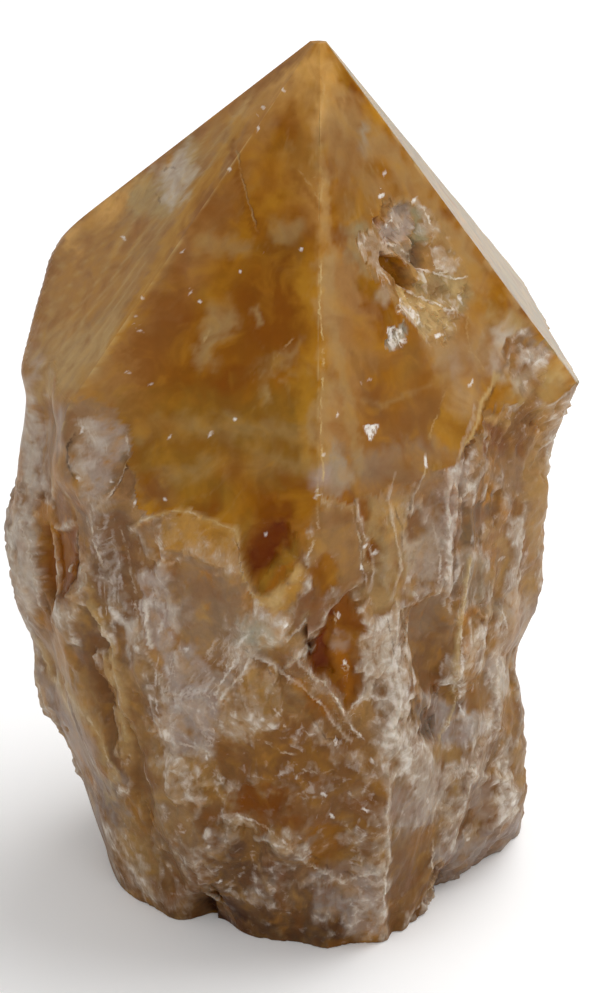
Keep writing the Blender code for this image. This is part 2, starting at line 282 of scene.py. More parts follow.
class Canvas:
    """The side of the stone that the photograph shows, for placing things by their pixel."""

    def __init__(self, points):
        self.across, self.down = to_pixels(points)
        facing = -(turned_normals(points) @ camera_axes()[0])
        self.seen = smooth(facing, -0.12, 0.06)
        self.wobble = [layered(points, 4.5, seed, layers=4, share=0.65) for seed in (211, 223)]
        self.mottle = np.clip(0.5 + 0.5 * layered(points, 1.6, seed=229), 0, 1)
        self.fade = smooth(layered(points, 3.0, seed=233, layers=4, share=0.7), -1.4, 0.1)
        self.soft_fade = smooth(layered(points, 7.0, seed=239, layers=2), -1.1, 0.3)

    def warped(self, wobble):
        return self.across + wobble * self.wobble[0], self.down + wobble * self.wobble[1]

    def spot(self, across, down, radius):
        """1 within this many pixels of a pixel, and 0 away from it."""
        warped = self.warped(7.0)
        distance = np.hypot(warped[0] - across, warped[1] - down) / radius + 0.5 * (self.mottle - 0.5)
        return smooth(distance, 1.6, 0.4) * self.seen

    def line(self, numbers, width):
        """1 on a line through the pixels, of a width that comes and goes, and 0 away from it."""
        across, down = self.warped(2.5)
        distance = np.abs(beside(across, down, pixels(numbers))[0]) / (width * (0.15 + 0.7 * self.mottle))
        return smooth(distance, 1.5, 0.5) * self.seen

    def threads(self, lines):
        """(distance, strength) of the nearest of these thin lines, each given as (strength, pixels)."""
        across, down = self.warped(2.0)
        distance, strength = np.full(across.shape, 99.0), np.zeros(across.shape)
        for amount, numbers in lines:
            away, along = beside(across, down, pixels(numbers))
            closer = np.abs(away) < np.abs(distance)
            distance = np.where(closer, away, distance)
            ends = smooth(along, 0, 0.12) * smooth(along, 1, 0.88)
            strength = np.where(closer, amount * ends * smooth(np.abs(away), 9, 5), strength)
        return distance, strength * self.seen

    def area(self, corners, edge, wobble=8.0, behind=False):
        """1 inside a polygon of pixels and 0 outside, with a ragged edge this many pixels soft."""
        across, down = self.warped(wobble)
        corners = pixels(corners)
        loop = (*corners, corners[0])
        inside = np.zeros(across.shape, bool)
        for (x0, y0), (x1, y1) in zip(loop, loop[1:]):
            if y0 != y1:
                left = across < x0 + (x1 - x0) * (down - y0) / (y1 - y0)
                inside ^= ((y0 > down) != (y1 > down)) & left
        distance = np.abs(beside(across, down, loop)[0]) * np.where(inside, 1, -1)
        inside = smooth(distance + 1.2 * edge * (self.mottle - 0.5), -edge, edge)
        return inside if behind else inside * self.seen


def pixels(numbers):
    """((across, down), …) of the numbers across, down, across, down …"""
    return tuple(zip(numbers[::2], numbers[1::2]))


def beside(across, down, points):
    """(distance, along): pixels to a line through the points, negative on its left, and how far along."""
    distance, along = np.full(across.shape, np.inf), np.zeros(across.shape)
    for index, ((x0, y0), (x1, y1)) in enumerate(zip(points, points[1:])):
        run, fall = x1 - x0, y1 - y0
        part = np.clip(((across - x0) * run + (down - y0) * fall) / (run * run + fall * fall), 0, 1)
        away = np.hypot(across - x0 - part * run, down - y0 - part * fall)
        side = np.sign((across - x0) * fall - (down - y0) * run + 1e-9)
        closer = away < np.abs(distance)
        distance = np.where(closer, away * side, distance)
        along = np.where(closer, (index + part) / (len(points) - 1), along)
    return distance, along


# Colours ------------------------------------------------------------------------------------------


def srgb(code):
    """Linear red, green and blue of a colour written as on a screen, 0xRRGGBB."""
    parts = np.array([code >> 16 & 255, code >> 8 & 255, code & 255]) / 255
    return np.where(parts < 0.04045, parts / 12.92, ((parts + 0.055) / 1.055) ** 2.4)


SCREEN_COLOURS = dict(
    deep=0x753F03, honey=0x8E5A0C, olive=0x795417, gold=0xB07C20, orange=0xA0691F, tan=0x9C794B,
    pink_tan=0x99734A, brown=0x754E29, red_brown=0x734729, veil=0xA38B5E, amber=0x96590A,
    dark_amber=0x803900, grey=0x93846F, grey_green=0x8A8568, grey_blue=0x9A9A8B, lilac=0xA19389,
    mauve=0x84694F, crust=0xC6BBAC, white=0xE2DBD2, cream=0xBDA26F, dark=0x40281A, dark_red=0x5E1E00,
    shade=0x2A0C02, shadow_grey=0x5C4D3D, straw=0xC99A55, umber=0x5E4330, dun=0x8E6638, pale=0xB9AC9D,
    milk=0xA99B84,
)
COLOURS = {name: srgb(code) for name, code in SCREEN_COLOURS.items()}
CRUST_SHARES = {"crust": 0.7, "white": 1.0}  # these two are laid as crust, not as a colour of the stone


# The broken surface -------------------------------------------------------------------------------

LEAN = 0.38  # how far the fibres lean towards the front, going down
LEAN_FROM = 60.0  # the height that the lean is measured from
GIRTH = 31.0  # the stone's radius, about


def leaning(points, angles):
    """The points turned round the axis so that fibres which lean in towards the front run upright."""
    reach = np.hypot(points[..., 0], points[..., 1])
    turn = angles - LEAN * np.cos(angles) * (points[..., 2] - LEAN_FROM) / GIRTH
    return np.stack([reach * np.cos(turn), reach * np.sin(turn), points[..., 2]], axis=-1)


def broken_surface(points, upright):
    """The broken stone's panels, the ribs between them, its fibres and crust, with their relief in mm."""
    bend = np.stack([layered(points, 6.0, seed) for seed in (1, 2, 3)], axis=-1)
    towards_right = np.cos(np.arctan2(points[..., 1], points[..., 0]))
    fibrous = smooth(noise(upright, (14, 14, 34), seed=5) - 0.25 * towards_right, -0.1, 0.4)
    level, gap, kind = chips(upright + 1.8 * bend, (6.0, 6.0, 11.0), seed=31)
    width = 0.13 + 0.1 * layered(points, 3.0, seed=33)
    ribs = smooth(gap, width, 0.3 * width) * smooth(noise(points, 9.0, seed=35), -0.5, 0.1)
    small_level, small_gap, small_kind = chips(points + 0.8 * bend, (2.2, 2.2, 2.2), seed=47)
    flaky = smooth(noise(points, 12.0, seed=41), -0.05, 0.35)
    fibres = noise(upright, (1.1, 1.1, 12.0), seed=7) + 0.6 * noise(upright, (0.6, 0.6, 7.0), seed=8)
    crust = smooth(layered(points, 7.0, seed=43, layers=4), 0.15, 0.6)
    granular = layered(points, 0.9, seed=45, layers=2)
    relief = 0.22 * level + 0.12 * ribs * (1 + 0.6 * granular)
    relief += (0.18 * small_level - 0.1 * smooth(small_gap, 0.12, 0.0)) * flaky
    relief += 0.08 * fibres * (0.35 + fibrous) + 0.07 * granular * (0.4 + crust)
    return {"relief": relief, "ribs": ribs, "kind": kind, "flaky": flaky, "small_kind": small_kind,
            "small_gap": small_gap, "fibrous": fibrous, "fibres": fibres, "crust": crust}


# Forms of the photographed side -------------------------------------------------------------------

# Broken ground that the solid's own faces don't show, by its corners in pixels
BROKEN_TOO = (
    (50, 412, 78, 398, 112, 402, 128, 432, 126, 470, 134, 500, 100, 510, 60, 500, 40, 450),
    (128, 508, 172, 513, 212, 521, 236, 533, 244, 560, 248, 592, 200, 592, 150, 570, 130, 530),
    (324, 504, 352, 496, 400, 500, 430, 486, 466, 452, 500, 400, 516, 520, 420, 560, 340, 560),
)

# Here the stone is crushed crystal, with no run to its fibres
FLAKY = (214, 690, 260, 690, 310, 720, 380, 770, 380, 880, 350, 940, 220, 930, 160, 880, 170, 790)

# Here the forms below replace the solid's own hollows
EVENED = (236, 500, 300, 490, 318, 520, 345, 545, 345, 600, 366, 620, 366, 700, 340, 715, 300, 690,
          296, 640, 262, 612, 244, 575)

# Worn smooth, by softness of the edge and corners in pixels: the low left edge, and the notch's right
WORN = (
    (10, (40, 690, 100, 690, 126, 800, 160, 900, 110, 900, 70, 800)),
    (4, (218, 892, 264, 904, 264, 950, 218, 945)),
)

# Where the stone's outline falls back or stands out: relief in mm, corners in pixels
OUTLINE_EDGE = 16.0  # softness in pixels
OUTLINE = (
    (-1.3, (536, 412, 590, 412, 580, 462, 540, 474)),
    (-0.5, (525, 524, 560, 524, 556, 600, 522, 600)),
    (0.3, (495, 616, 545, 616, 535, 648, 490, 648)),
    (-0.5, (505, 650, 545, 650, 540, 740, 505, 740)),
    (1.1, (485, 780, 545, 780, 535, 845, 490, 850)),
    (-2.2, (425, 930, 445, 880, 500, 850, 540, 870, 480, 930)),
    (-1.6, (30, 722, 66, 718, 92, 792, 60, 800)),
    (1.1, (70, 812, 112, 806, 120, 866, 90, 866)),
)

# Forms on the photographed side: name, colour, strength of the colour, relief in mm, calm from 0 to 1 (how
# far it is free of crust and splinters), softness of the edge in pixels, corners in pixels
AREAS = (
    ("knob", "mauve", 0.8, 0.5, 0.3, 4, (50, 410, 80, 396, 112, 400, 126, 430, 122, 470, 104, 502, 78, 498,
      62, 470, 46, 440)),
    ("knob crystal", "lilac", 0.6, 0.4, 0.6, 3, (90, 425, 118, 420, 124, 450, 112, 478, 98, 496, 84, 490,
      80, 460)),
    ("knob crust", "crust", 0.9, 0.25, 0.0, 3, (72, 425, 88, 422, 104, 436, 96, 456, 80, 480, 70, 470,
      76, 446)),
    ("knob rim", "shadow_grey", 0.7, -0.4, 0.2, 2, (124, 440, 128, 470, 108, 498, 106, 492, 116, 470)),
    ("under knob", "mauve", 0.6, 0.0, 0.4, 5, (76, 500, 110, 500, 134, 520, 120, 545, 90, 540, 74, 520)),
    ("far left", "pale", 0.85, 0.0, 0.8, 5, (22, 385, 42, 395, 46, 440, 44, 490, 26, 505, 18, 450)),
    ("left lobe", "pale", 0.75, 0.2, 0.3, 4, (10, 505, 34, 500, 42, 540, 44, 600, 30, 625, 12, 580)),
    ("left pocket", "deep", 1.0, -0.7, 1.0, 5, (48, 528, 72, 532, 76, 556, 66, 592, 54, 590, 46, 560)),
    ("left streaks", "umber", 0.6, 0.0, 0.6, 5, (80, 505, 120, 510, 140, 560, 140, 620, 110, 640, 84, 600)),
    ("pale top", "mauve", 0.8, 0.2, 0.5, 3, (138, 524, 158, 520, 166, 538, 156, 556, 140, 552)),
    ("pale left", "lilac", 0.75, 0.3, 0.5, 3, (138, 572, 160, 566, 176, 580, 178, 640, 164, 652, 144, 640)),
    ("pale fan", "pale", 1.0, 0.15, 0.4, 4, (112, 600, 122, 612, 136, 618, 142, 642, 134, 652, 124, 640,
      116, 622)),
    ("pale bit", "lilac", 0.9, 0.2, 0.5, 3, (176, 604, 194, 602, 198, 624, 182, 632)),
    ("mauve field", "mauve", 0.9, 0.0, 0.8, 5, (168, 540, 228, 545, 244, 580, 250, 620, 220, 660, 186, 650,
      176, 590)),
    ("lip", "gold", 0.55, 0.3, 0.5, 3, (166, 512, 192, 514, 212, 520, 234, 530, 240, 556, 244, 580,
      222, 576, 196, 556, 168, 548)),
    ("pale streak", "lilac", 0.75, 0.15, 0.5, 3, (166, 652, 192, 644, 212, 668, 220, 700, 214, 750,
      178, 764, 168, 740, 162, 700)),
    ("left low", "lilac", 0.56, 0.0, 0.9, 5, (34, 668, 60, 672, 80, 712, 92, 760, 78, 770, 52, 730,
      38, 700)),
    ("brown flute", "umber", 0.7, -0.6, 0.93, 4, (76, 604, 92, 612, 112, 690, 118, 760, 128, 840, 112, 800,
      88, 720, 72, 650)),
    ("left tan", "tan", 0.6, 0.1, 0.85, 5, (40, 628, 66, 630, 92, 690, 104, 760, 94, 770, 70, 712,
      44, 668)),
    ("tan flute", "tan", 0.7, 0.1, 0.85, 5, (112, 664, 140, 660, 158, 760, 180, 800, 178, 880, 150, 880,
      122, 760)),
    ("second brown", "brown", 0.75, -0.4, 0.9, 4, (128, 690, 146, 700, 156, 790, 150, 840, 134, 790)),
    ("haze", "crust", 0.4, 0.1, 0.3, 6, (226, 620, 262, 606, 284, 622, 282, 656, 250, 668, 226, 660)),
    ("yellow fan", "gold", 0.7, 0.1, 0.6, 3, (252, 588, 276, 570, 310, 576, 300, 600, 272, 620, 256, 610)),
    ("chunk", "brown", 0.85, 0.2, 0.55, 5, (246, 690, 300, 680, 350, 745, 384, 770, 384, 850, 310, 850,
      250, 800, 222, 760)),
    ("chunk glow", "brown", 0.75, 0.0, 0.4, 5, (262, 700, 300, 710, 336, 760, 330, 800, 290, 790,
      256, 750)),
    ("chunk crust", "tan", 0.6, 0.2, 0.2, 4, (214, 690, 246, 668, 284, 680, 270, 730, 240, 744, 214, 740)),
    ("dark band", "deep", 0.95, -0.4, 0.95, 4, (218, 790, 250, 784, 288, 790, 286, 808, 250, 812,
      224, 808)),
    ("low band", "deep", 0.65, -0.3, 0.95, 3, (250, 812, 296, 812, 300, 828, 262, 832)),
    ("ledge", "tan", 0.56, 0.5, 0.35, 3, (160, 760, 190, 752, 204, 776, 198, 800, 180, 802, 166, 790)),
    ("olive low", "mauve", 0.8, 0.0, 0.4, 5, (156, 808, 200, 806, 206, 850, 196, 880, 166, 872, 154, 840)),
    # mauve chunk: its own mauve-brown, laid as darker umber for painted shade low on the front.
    ("mauve chunk", "umber", 0.7, 0.1, 0.5, 5, (208, 820, 254, 834, 310, 866, 350, 880, 350, 936, 290, 944,
      232, 920, 206, 880)),
    ("mauve dark", "umber", 0.7, -0.2, 0.5, 6, (226, 830, 262, 846, 290, 872, 280, 900, 240, 890,
      214, 860)),
    ("left haze", "lilac", 0.6, 0.0, 0.8, 6, (94, 776, 116, 780, 128, 824, 116, 836, 100, 812)),
    ("left flute", "brown", 0.6, -0.2, 0.9, 5, (84, 640, 98, 640, 112, 690, 114, 740, 102, 730, 90, 690)),
    # Painted shade: bottom dark, the notch and the two bottom shades darken the foot.
    ("bottom dark", "dark", 0.55, -0.2, 0.75, 14, (214, 896, 300, 922, 345, 915, 345, 950, 230, 950)),
    ("bottom left", "brown", 0.85, 0.1, 0.65, 6, (144, 872, 200, 876, 206, 920, 170, 920, 146, 900)),
    ("notch side", "brown", 0.4, 0.0, 0.95, 5, (202, 878, 230, 888, 256, 914, 254, 940, 215, 935)),
    ("notch", "shade", 1.0, -1.5, 1.0, 8, (207, 887, 198, 906, 200, 925, 244, 930, 237, 914, 222, 900)),
    ("bottom shade left", "shade", 0.4, 0.0, 0.9, 4, (144, 904, 172, 912, 198, 912, 194, 930, 150, 926)),
    ("bottom shade", "shade", 0.3, 0.0, 0.8, 5, (236, 918, 270, 930, 310, 936, 345, 928, 345, 952,
      236, 946)),
    ("yellow pit", "honey", 0.85, -0.4, 0.8, 4, (310, 830, 334, 824, 346, 844, 336, 864, 312, 862)),
    ("bottom pale", "lilac", 0.7, 0.1, 0.3, 5, (312, 872, 340, 866, 384, 862, 384, 936, 350, 936, 336, 912,
      316, 914)),
    ("plate", "mauve", 0.85, 0.2, 0.85, 4, (318, 510, 352, 508, 360, 560, 356, 584, 320, 612, 290, 640,
      306, 604, 338, 592, 340, 556, 320, 548)),
    ("front panels", "veil", 0.5, 0.0, 0.7, 5, (362, 500, 412, 492, 420, 540, 408, 600, 372, 610,
      364, 560)),
    ("upper panels", "mauve", 0.6, 0.0, 0.85, 6, (326, 484, 420, 476, 446, 466, 442, 500, 352, 508,
      330, 504)),
    ("pale panel", "pale", 0.45, 0.1, 0.6, 4, (404, 506, 436, 502, 440, 560, 420, 592, 404, 560)),
    ("plate side", "dun", 0.5, 0.0, 0.95, 4, (338, 504, 356, 502, 363, 560, 360, 584, 344, 580)),
    ("olive pit", "brown", 0.9, -0.3, 1.0, 3, (408, 514, 420, 512, 424, 530, 414, 540, 406, 530)),
    ("front pit", "deep", 0.85, -0.3, 1.0, 3, (358, 498, 370, 502, 372, 522, 362, 524)),
    ("drop", "deep", 0.95, -0.7, 1.0, 3, (364, 540, 374, 544, 376, 566, 366, 562)),
    ("seam fibres", "lilac", 0.45, 0.2, 0.1, 4, (446, 470, 470, 455, 466, 520, 456, 600, 440, 610,
      436, 530)),
    ("red patch", "red_brown", 0.95, -0.4, 0.5, 4, (486, 426, 506, 430, 514, 450, 502, 464, 486, 456)),
    ("grey side", "mauve", 0.85, 0.0, 0.5, 5, (490, 456, 532, 450, 534, 490, 506, 496, 488, 480)),
    ("taupe", "shadow_grey", 0.7, -0.4, 0.9, 3, (464, 504, 482, 500, 492, 520, 488, 544, 470, 550,
      462, 530)),
    ("oval", "umber", 0.7, -0.6, 0.95, 2.5, (492, 490, 501, 492, 503, 512, 494, 520, 490, 506)),
    ("orange streak", "tan", 0.9, 0.0, 0.6, 3, (492, 524, 504, 520, 506, 590, 494, 594)),
    ("green side", "grey", 0.75, 0.0, 0.3, 4, (462, 552, 490, 550, 494, 604, 470, 612, 460, 580)),
    ("white side", "crust", 0.8, 0.2, 0.1, 4, (508, 520, 524, 516, 528, 600, 514, 628, 506, 580)),
    ("right strip", "tan", 0.9, 0.1, 0.9, 4, (524, 440, 552, 436, 552, 520, 542, 600, 528, 600, 526, 520)),
    ("right strip low", "pale", 0.3, 0.0, 0.8, 4, (514, 590, 542, 596, 534, 650, 508, 655, 504, 620)),
    ("big panel", "mauve", 0.9, -0.6, 0.9, 4, (404, 612, 430, 596, 458, 604, 462, 650, 456, 696, 420, 694,
      408, 660)),
    ("big panel low", "brown", 0.75, -0.3, 0.9, 5, (414, 640, 456, 636, 456, 694, 420, 692)),
    ("crust left", "white", 0.8, 0.2, 0.0, 4, (360, 622, 392, 612, 404, 650, 400, 704, 372, 708, 362, 660)),
    ("column", "white", 0.45, 0.35, 0.0, 4, (388, 640, 400, 656, 406, 700, 408, 774, 390, 774, 386, 700)),
    ("niche", "lilac", 1.0, -0.3, 0.85, 4, (420, 700, 444, 694, 478, 702, 476, 740, 440, 744, 420, 736)),
    ("right low", "white", 0.4, 0.0, 0.1, 6, (440, 770, 500, 745, 520, 800, 500, 830, 450, 850, 436, 810)),
    ("right windows", "crust", 0.7, 0.1, 0.1, 6, (444, 660, 504, 640, 512, 700, 500, 740, 470, 740,
      446, 700)),
    ("pale low", "white", 0.5, 0.1, 0.0, 6, (392, 742, 440, 740, 470, 762, 440, 792, 396, 790)),
    ("bright patch", "white", 1.0, 0.5, 0.0, 4, (494, 780, 512, 776, 514, 812, 496, 816)),
    ("yellow low", "pale", 0.5, 0.0, 0.6, 6, (413, 766, 448, 764, 448, 800, 430, 806, 414, 800)),
    ("niche shade", "shadow_grey", 0.8, -0.8, 0.9, 3, (412, 704, 424, 700, 428, 720, 426, 740, 414, 736)),
    ("pane one", "dun", 0.85, -0.35, 1.0, 4, (464, 674, 484, 672, 489, 692, 486, 712, 468, 712)),
    ("pane two", "dun", 0.85, -0.25, 1.0, 4, (502, 702, 520, 700, 524, 718, 520, 736, 504, 736)),
    ("pane three", "tan", 0.8, -0.15, 0.95, 4, (428, 748, 458, 746, 460, 764, 430, 766)),
    ("pane four", "lilac", 0.5, -0.1, 1.0, 4, (470, 784, 487, 782, 489, 808, 484, 822, 472, 816)),
    ("pane five", "tan", 0.6, -0.15, 1.0, 3, (450, 782, 459, 780, 460, 802, 452, 802)),
    ("pale cloud", "pale", 0.8, 0.1, 0.9, 5, (488, 660, 514, 658, 518, 690, 504, 698, 490, 690)),
    ("dark bit", "brown", 0.9, -0.3, 0.75, 4, (260, 730, 292, 728, 300, 756, 270, 762)),
    ("dark chip", "brown", 0.95, -0.3, 0.8, 4, (306, 752, 330, 748, 334, 778, 310, 782)),
    # Painted shade: under ledge is the shade below the ledge.
    ("under ledge", "brown", 0.85, -0.4, 0.85, 4, (196, 802, 222, 800, 224, 830, 200, 832)),
    ("pocket top", "brown", 0.9, -0.3, 0.8, 4, (52, 486, 72, 484, 76, 524, 56, 528)),
    ("edge strip", "tan", 0.9, 0.0, 0.95, 4, (506, 752, 530, 745, 530, 838, 514, 838, 508, 800)),
    ("low panel", "brown", 0.6, -0.3, 0.95, 4, (387, 840, 404, 832, 434, 826, 436, 884, 420, 912,
      388, 902)),
    ("low panel top", "lilac", 0.55, 0.1, 0.5, 5, (392, 790, 430, 790, 432, 826, 394, 840)),
    ("underside", "lilac", 0.8, 0.0, 0.85, 5, (436, 854, 482, 838, 520, 812, 524, 840, 480, 884, 440, 892)),
    ("underside shade", "dark", 0.5, -0.4, 0.5, 4, (434, 866, 448, 864, 446, 892, 432, 896)),
    ("hollow wall", "honey", 0.8, -0.4, 1.0, 9, (236, 524, 258, 500, 290, 494, 314, 500, 317, 521, 311, 537,
      307, 552, 296, 572, 275, 590, 266, 600, 252, 590, 242, 566)),
    ("hollow rim", "olive", 0.6, 0.0, 1.0, 6, (234, 526, 248, 514, 256, 520, 254, 536, 244, 545, 240, 556)),
    ("hollow core", "deep", 0.95, -0.35, 1.0, 7, (262, 500, 276, 495, 290, 502, 294, 515, 292, 530,
      289, 540, 278, 552, 267, 561, 256, 571, 245, 563, 243, 547, 250, 533, 256, 519)),
    ("hollow depth", "dark_red", 0.85, -0.35, 1.0, 6, (252, 540, 270, 528, 288, 524, 288, 540, 276, 553,
      262, 566, 252, 571, 245, 560)),
    ("hollow slab", "olive", 0.85, 0.6, 1.0, 2, (259, 575, 276, 555, 293, 540, 297, 546, 295, 558, 289, 574,
      275, 588, 266, 598, 255, 588)),
    ("slab slot", "amber", 0.7, -0.3, 1.0, 2.5, (263, 590, 272, 574, 284, 560, 290, 562, 284, 576,
      270, 590)),
    ("hollow foot", "cream", 0.6, 0.3, 0.8, 4, (252, 588, 264, 596, 282, 586, 296, 572, 300, 584, 284, 604,
      272, 615, 260, 606)),
    ("plate", "dun", 0.6, 0.0, 1.0, 3, (317, 508, 350, 506, 357, 545, 356, 582, 338, 594, 337, 560,
      327, 549, 311, 572, 307, 552)),
    ("window", "honey", 0.95, -0.3, 1.0, 4, (311, 573, 327, 549, 336, 560, 337, 572, 335, 587, 323, 598,
      313, 586)),
    ("window depth", "deep", 0.6, -0.1, 1.0, 4, (312, 572, 322, 560, 324, 580, 318, 588)),
    ("under window", "red_brown", 0.6, 0.0, 0.6, 4, (300, 600, 316, 590, 330, 602, 312, 620, 296, 634,
      288, 622)),
    ("cleft", "deep", 1.0, -0.8, 1.0, 5, (309, 651, 318, 634, 327, 616, 334, 602, 348, 592, 356, 602,
      362, 625, 356, 648, 361, 676, 358, 692, 345, 708, 327, 682)),
    ("cleft glow", "amber", 0.75, 0.0, 1.0, 5, (334, 640, 352, 644, 357, 680, 346, 702, 336, 676)),
    ("cleft depth", "dark_red", 0.95, -0.6, 1.0, 5, (309, 650, 316, 632, 324, 614, 333, 610, 334, 632,
      327, 648, 334, 676, 328, 682, 318, 668)),
    ("cleft shadow", "shade", 0.95, -0.5, 1.0, 3, (301, 640, 312, 628, 317, 634, 312, 648, 304, 648)),
    ("plate band", "brown", 0.5, 0.4, 0.4, 3, (300, 652, 310, 650, 338, 694, 350, 712, 340, 716, 312, 690,
      298, 676)),
    ("yellow block", "brown", 0.5, 0.5, 0.9, 3, (281, 671, 290, 656, 305, 656, 305, 666, 294, 680,
      282, 677)),
    ("tan block", "brown", 0.8, 0.1, 0.92, 3, (264, 653, 287, 646, 289, 652, 280, 669, 268, 661)),
    ("orange slot", "amber", 0.75, -0.4, 1.0, 3, (295, 682, 301, 681, 311, 698, 326, 710, 330, 720,
      317, 720, 304, 702)),
    ("low block", "tan", 0.6, 0.3, 0.3, 4, (262, 670, 280, 676, 312, 716, 322, 736, 300, 730, 276, 700,
      258, 682)),
    ("blue dust", "grey_blue", 0.7, 0.1, 0.3, 5, (240, 622, 262, 618, 270, 640, 262, 654, 246, 652)),
)

# Ridges and cracks on the photographed side: name, colour, strength, relief in mm, width in pixels, pixels
LINES = (
    ("seam", "dark", 0.35, -0.2, 4, (503, 364, 492, 386, 482, 424, 470, 452, 458, 500, 456, 540, 457, 608)),
    ("seam rib", "crust", 0.6, 0.4, 6, (476, 404, 466, 440, 452, 476, 444, 510, 448, 560, 448, 606)),
    ("seam gold", "cream", 0.6, 0.2, 4, (496, 376, 484, 400, 474, 430, 466, 450)),
    ("front crack", "dark", 0.2, -0.12, 3, (351, 484, 357, 531, 362, 560, 364, 588)),
    ("crack crust", "crust", 0.4, 0.1, 5, (356, 500, 362, 530, 374, 560, 370, 590)),
    ("plate edge", "crust", 0.3, 0.3, 4, (286, 642, 311, 622, 335, 602, 362, 578)),
    ("upper vein", "white", 0.4, 0.3, 5, (250, 652, 272, 664, 300, 686, 325, 712, 350, 742)),
    ("lower vein", "crust", 0.4, 0.3, 5, (296, 656, 318, 676, 340, 704, 358, 738)),
    ("cross vein", "crust", 0.4, 0.25, 5, (284, 668, 300, 654, 316, 640)),
    ("lip rim", "cream", 0.4, 0.3, 5, (136, 524, 148, 517, 172, 510, 192, 515, 212, 520, 234, 530, 240, 552,
      243, 572, 252, 592, 262, 606)),
    ("ridge", "crust", 0.5, 0.4, 5, (390, 772, 387, 815, 388, 864)),
    ("low vein", "crust", 0.6, 0.4, 4, (254, 836, 284, 846, 310, 864, 344, 880, 384, 868)),
    ("flute ridge", "cream", 0.4, 0.3, 7, (92, 604, 108, 640, 122, 690, 128, 740)),
    ("left ridge", "cream", 0.4, 0.25, 7, (37, 639, 56, 674, 76, 710, 96, 745, 112, 800)),
    ("pale rib", "crust", 0.6, 0.4, 4, (398, 600, 396, 640)),
    ("blade", "white", 0.6, 0.3, 4, (147, 600, 151, 646)),
    ("streak fan", "white", 0.5, 0.2, 3.5, (253, 657, 236, 680, 216, 703)),
    ("right rib", "crust", 0.6, 0.3, 4, (494, 652, 496, 730)),
    ("panel rib", "cream", 0.6, 0.3, 4, (470, 560, 462, 620, 458, 680, 440, 740)),
    ("left rib", "crust", 0.6, 0.4, 4, (18, 512, 30, 560, 45, 610)),
    ("knob crack", "shadow_grey", 0.6, -0.3, 3.5, (74, 430, 68, 446, 69, 464, 74, 478)),
    ("pocket crack", "dark", 0.6, -0.3, 3.5, (76, 530, 74, 552, 66, 588)),
    ("slab side", "crust", 0.6, 0.2, 3, (424, 454, 426, 474, 414, 494, 412, 516)),
    ("panel side", "crust", 0.5, 0.2, 3, (396, 470, 388, 500, 396, 540, 402, 570, 392, 600)),
)

LINE_DRAWN = 0.4  # strength of the thin bright line that the material draws on each ridge

# Other thin bright lines that the material draws: strength, pixels along it
BRIGHT_THREADS = (
    (0.9, (304, 656, 323, 682, 340, 704, 352, 728, 366, 744)),
    (0.8, (347, 710, 354, 701, 363, 692)),
    (0.6, (317, 508, 318, 530, 310, 552, 296, 572)),
    (0.45, (350, 500, 353, 515, 358, 535, 362, 565, 368, 590)),
    (0.6, (334, 612, 338, 622, 336, 630)),
    (0.7, (342, 660, 350, 668, 348, 676, 342, 668)),
    (0.7, (252, 654, 244, 668, 240, 684)),
    (0.6, (238, 650, 228, 672, 214, 696)),
    (0.6, (225, 640, 222, 660, 226, 676)),
    (0.6, (270, 700, 282, 716, 286, 730)),
    (0.5, (430, 520, 440, 560, 436, 600)),
    (0.6, (404, 600, 408, 640, 418, 700)),
    (0.7, (462, 620, 464, 660, 458, 700, 470, 730)),
    (0.6, (500, 600, 506, 640, 500, 680)),
    (0.6, (392, 860, 384, 880, 386, 920)),
    (0.6, (434, 836, 436, 870, 430, 900)),
    (0.6, (232, 812, 262, 826, 292, 846)),
    (0.5, (300, 770, 320, 776, 334, 770)),
    (0.5, (262, 740, 280, 752, 300, 756)),
    (0.6, (206, 690, 216, 720, 212, 750)),
    (0.5, (118, 520, 128, 560, 136, 600, 140, 650)),
    (0.6, (86, 505, 92, 540, 104, 570)),
    (0.5, (124, 430, 128, 460, 118, 486, 106, 500)),
    (0.5, (158, 650, 154, 690, 160, 730)),
    (0.5, (176, 742, 200, 750, 216, 742)),
    # Painted highlight along the centre edge of the polished faces:
    (0.35, (321, 60, 321, 110, 322, 160, 322, 210)),
    (1.0, (321, 255, 321, 300, 322, 400, 322, 504)),
    (0.4, (200, 346, 208, 336, 213, 328)),
    (0.4, (272, 360, 284, 346, 295, 336)),
    (0.35, (236, 140, 240, 172, 249, 202, 258, 236)),
    (0.35, (296, 168, 311, 187, 320, 200, 333, 209)),
    (0.3, (471, 302, 466, 330, 470, 352, 486, 372)),
    (0.4, (446, 388, 440, 404, 433, 426, 427, 446)),
    (1.0, (368, 206, 372, 214, 376, 226, 384, 238)),
    (0.9, (423, 208, 432, 218, 436, 230)),
    (1.0, (388, 243, 402, 247, 414, 256, 420, 268)),
    (0.4, (438, 246, 446, 256, 446, 266)),
    (1.0, (418, 268, 437, 273, 456, 280, 470, 276)),
    (1.0, (398, 286, 412, 290, 431, 302, 450, 310, 458, 318)),
    (0.9, (400, 300, 412, 308, 420, 316, 430, 330)),
    (0.8, (378, 262, 384, 276, 394, 288)),
    (0.8, (456, 300, 454, 320, 446, 334)),
)

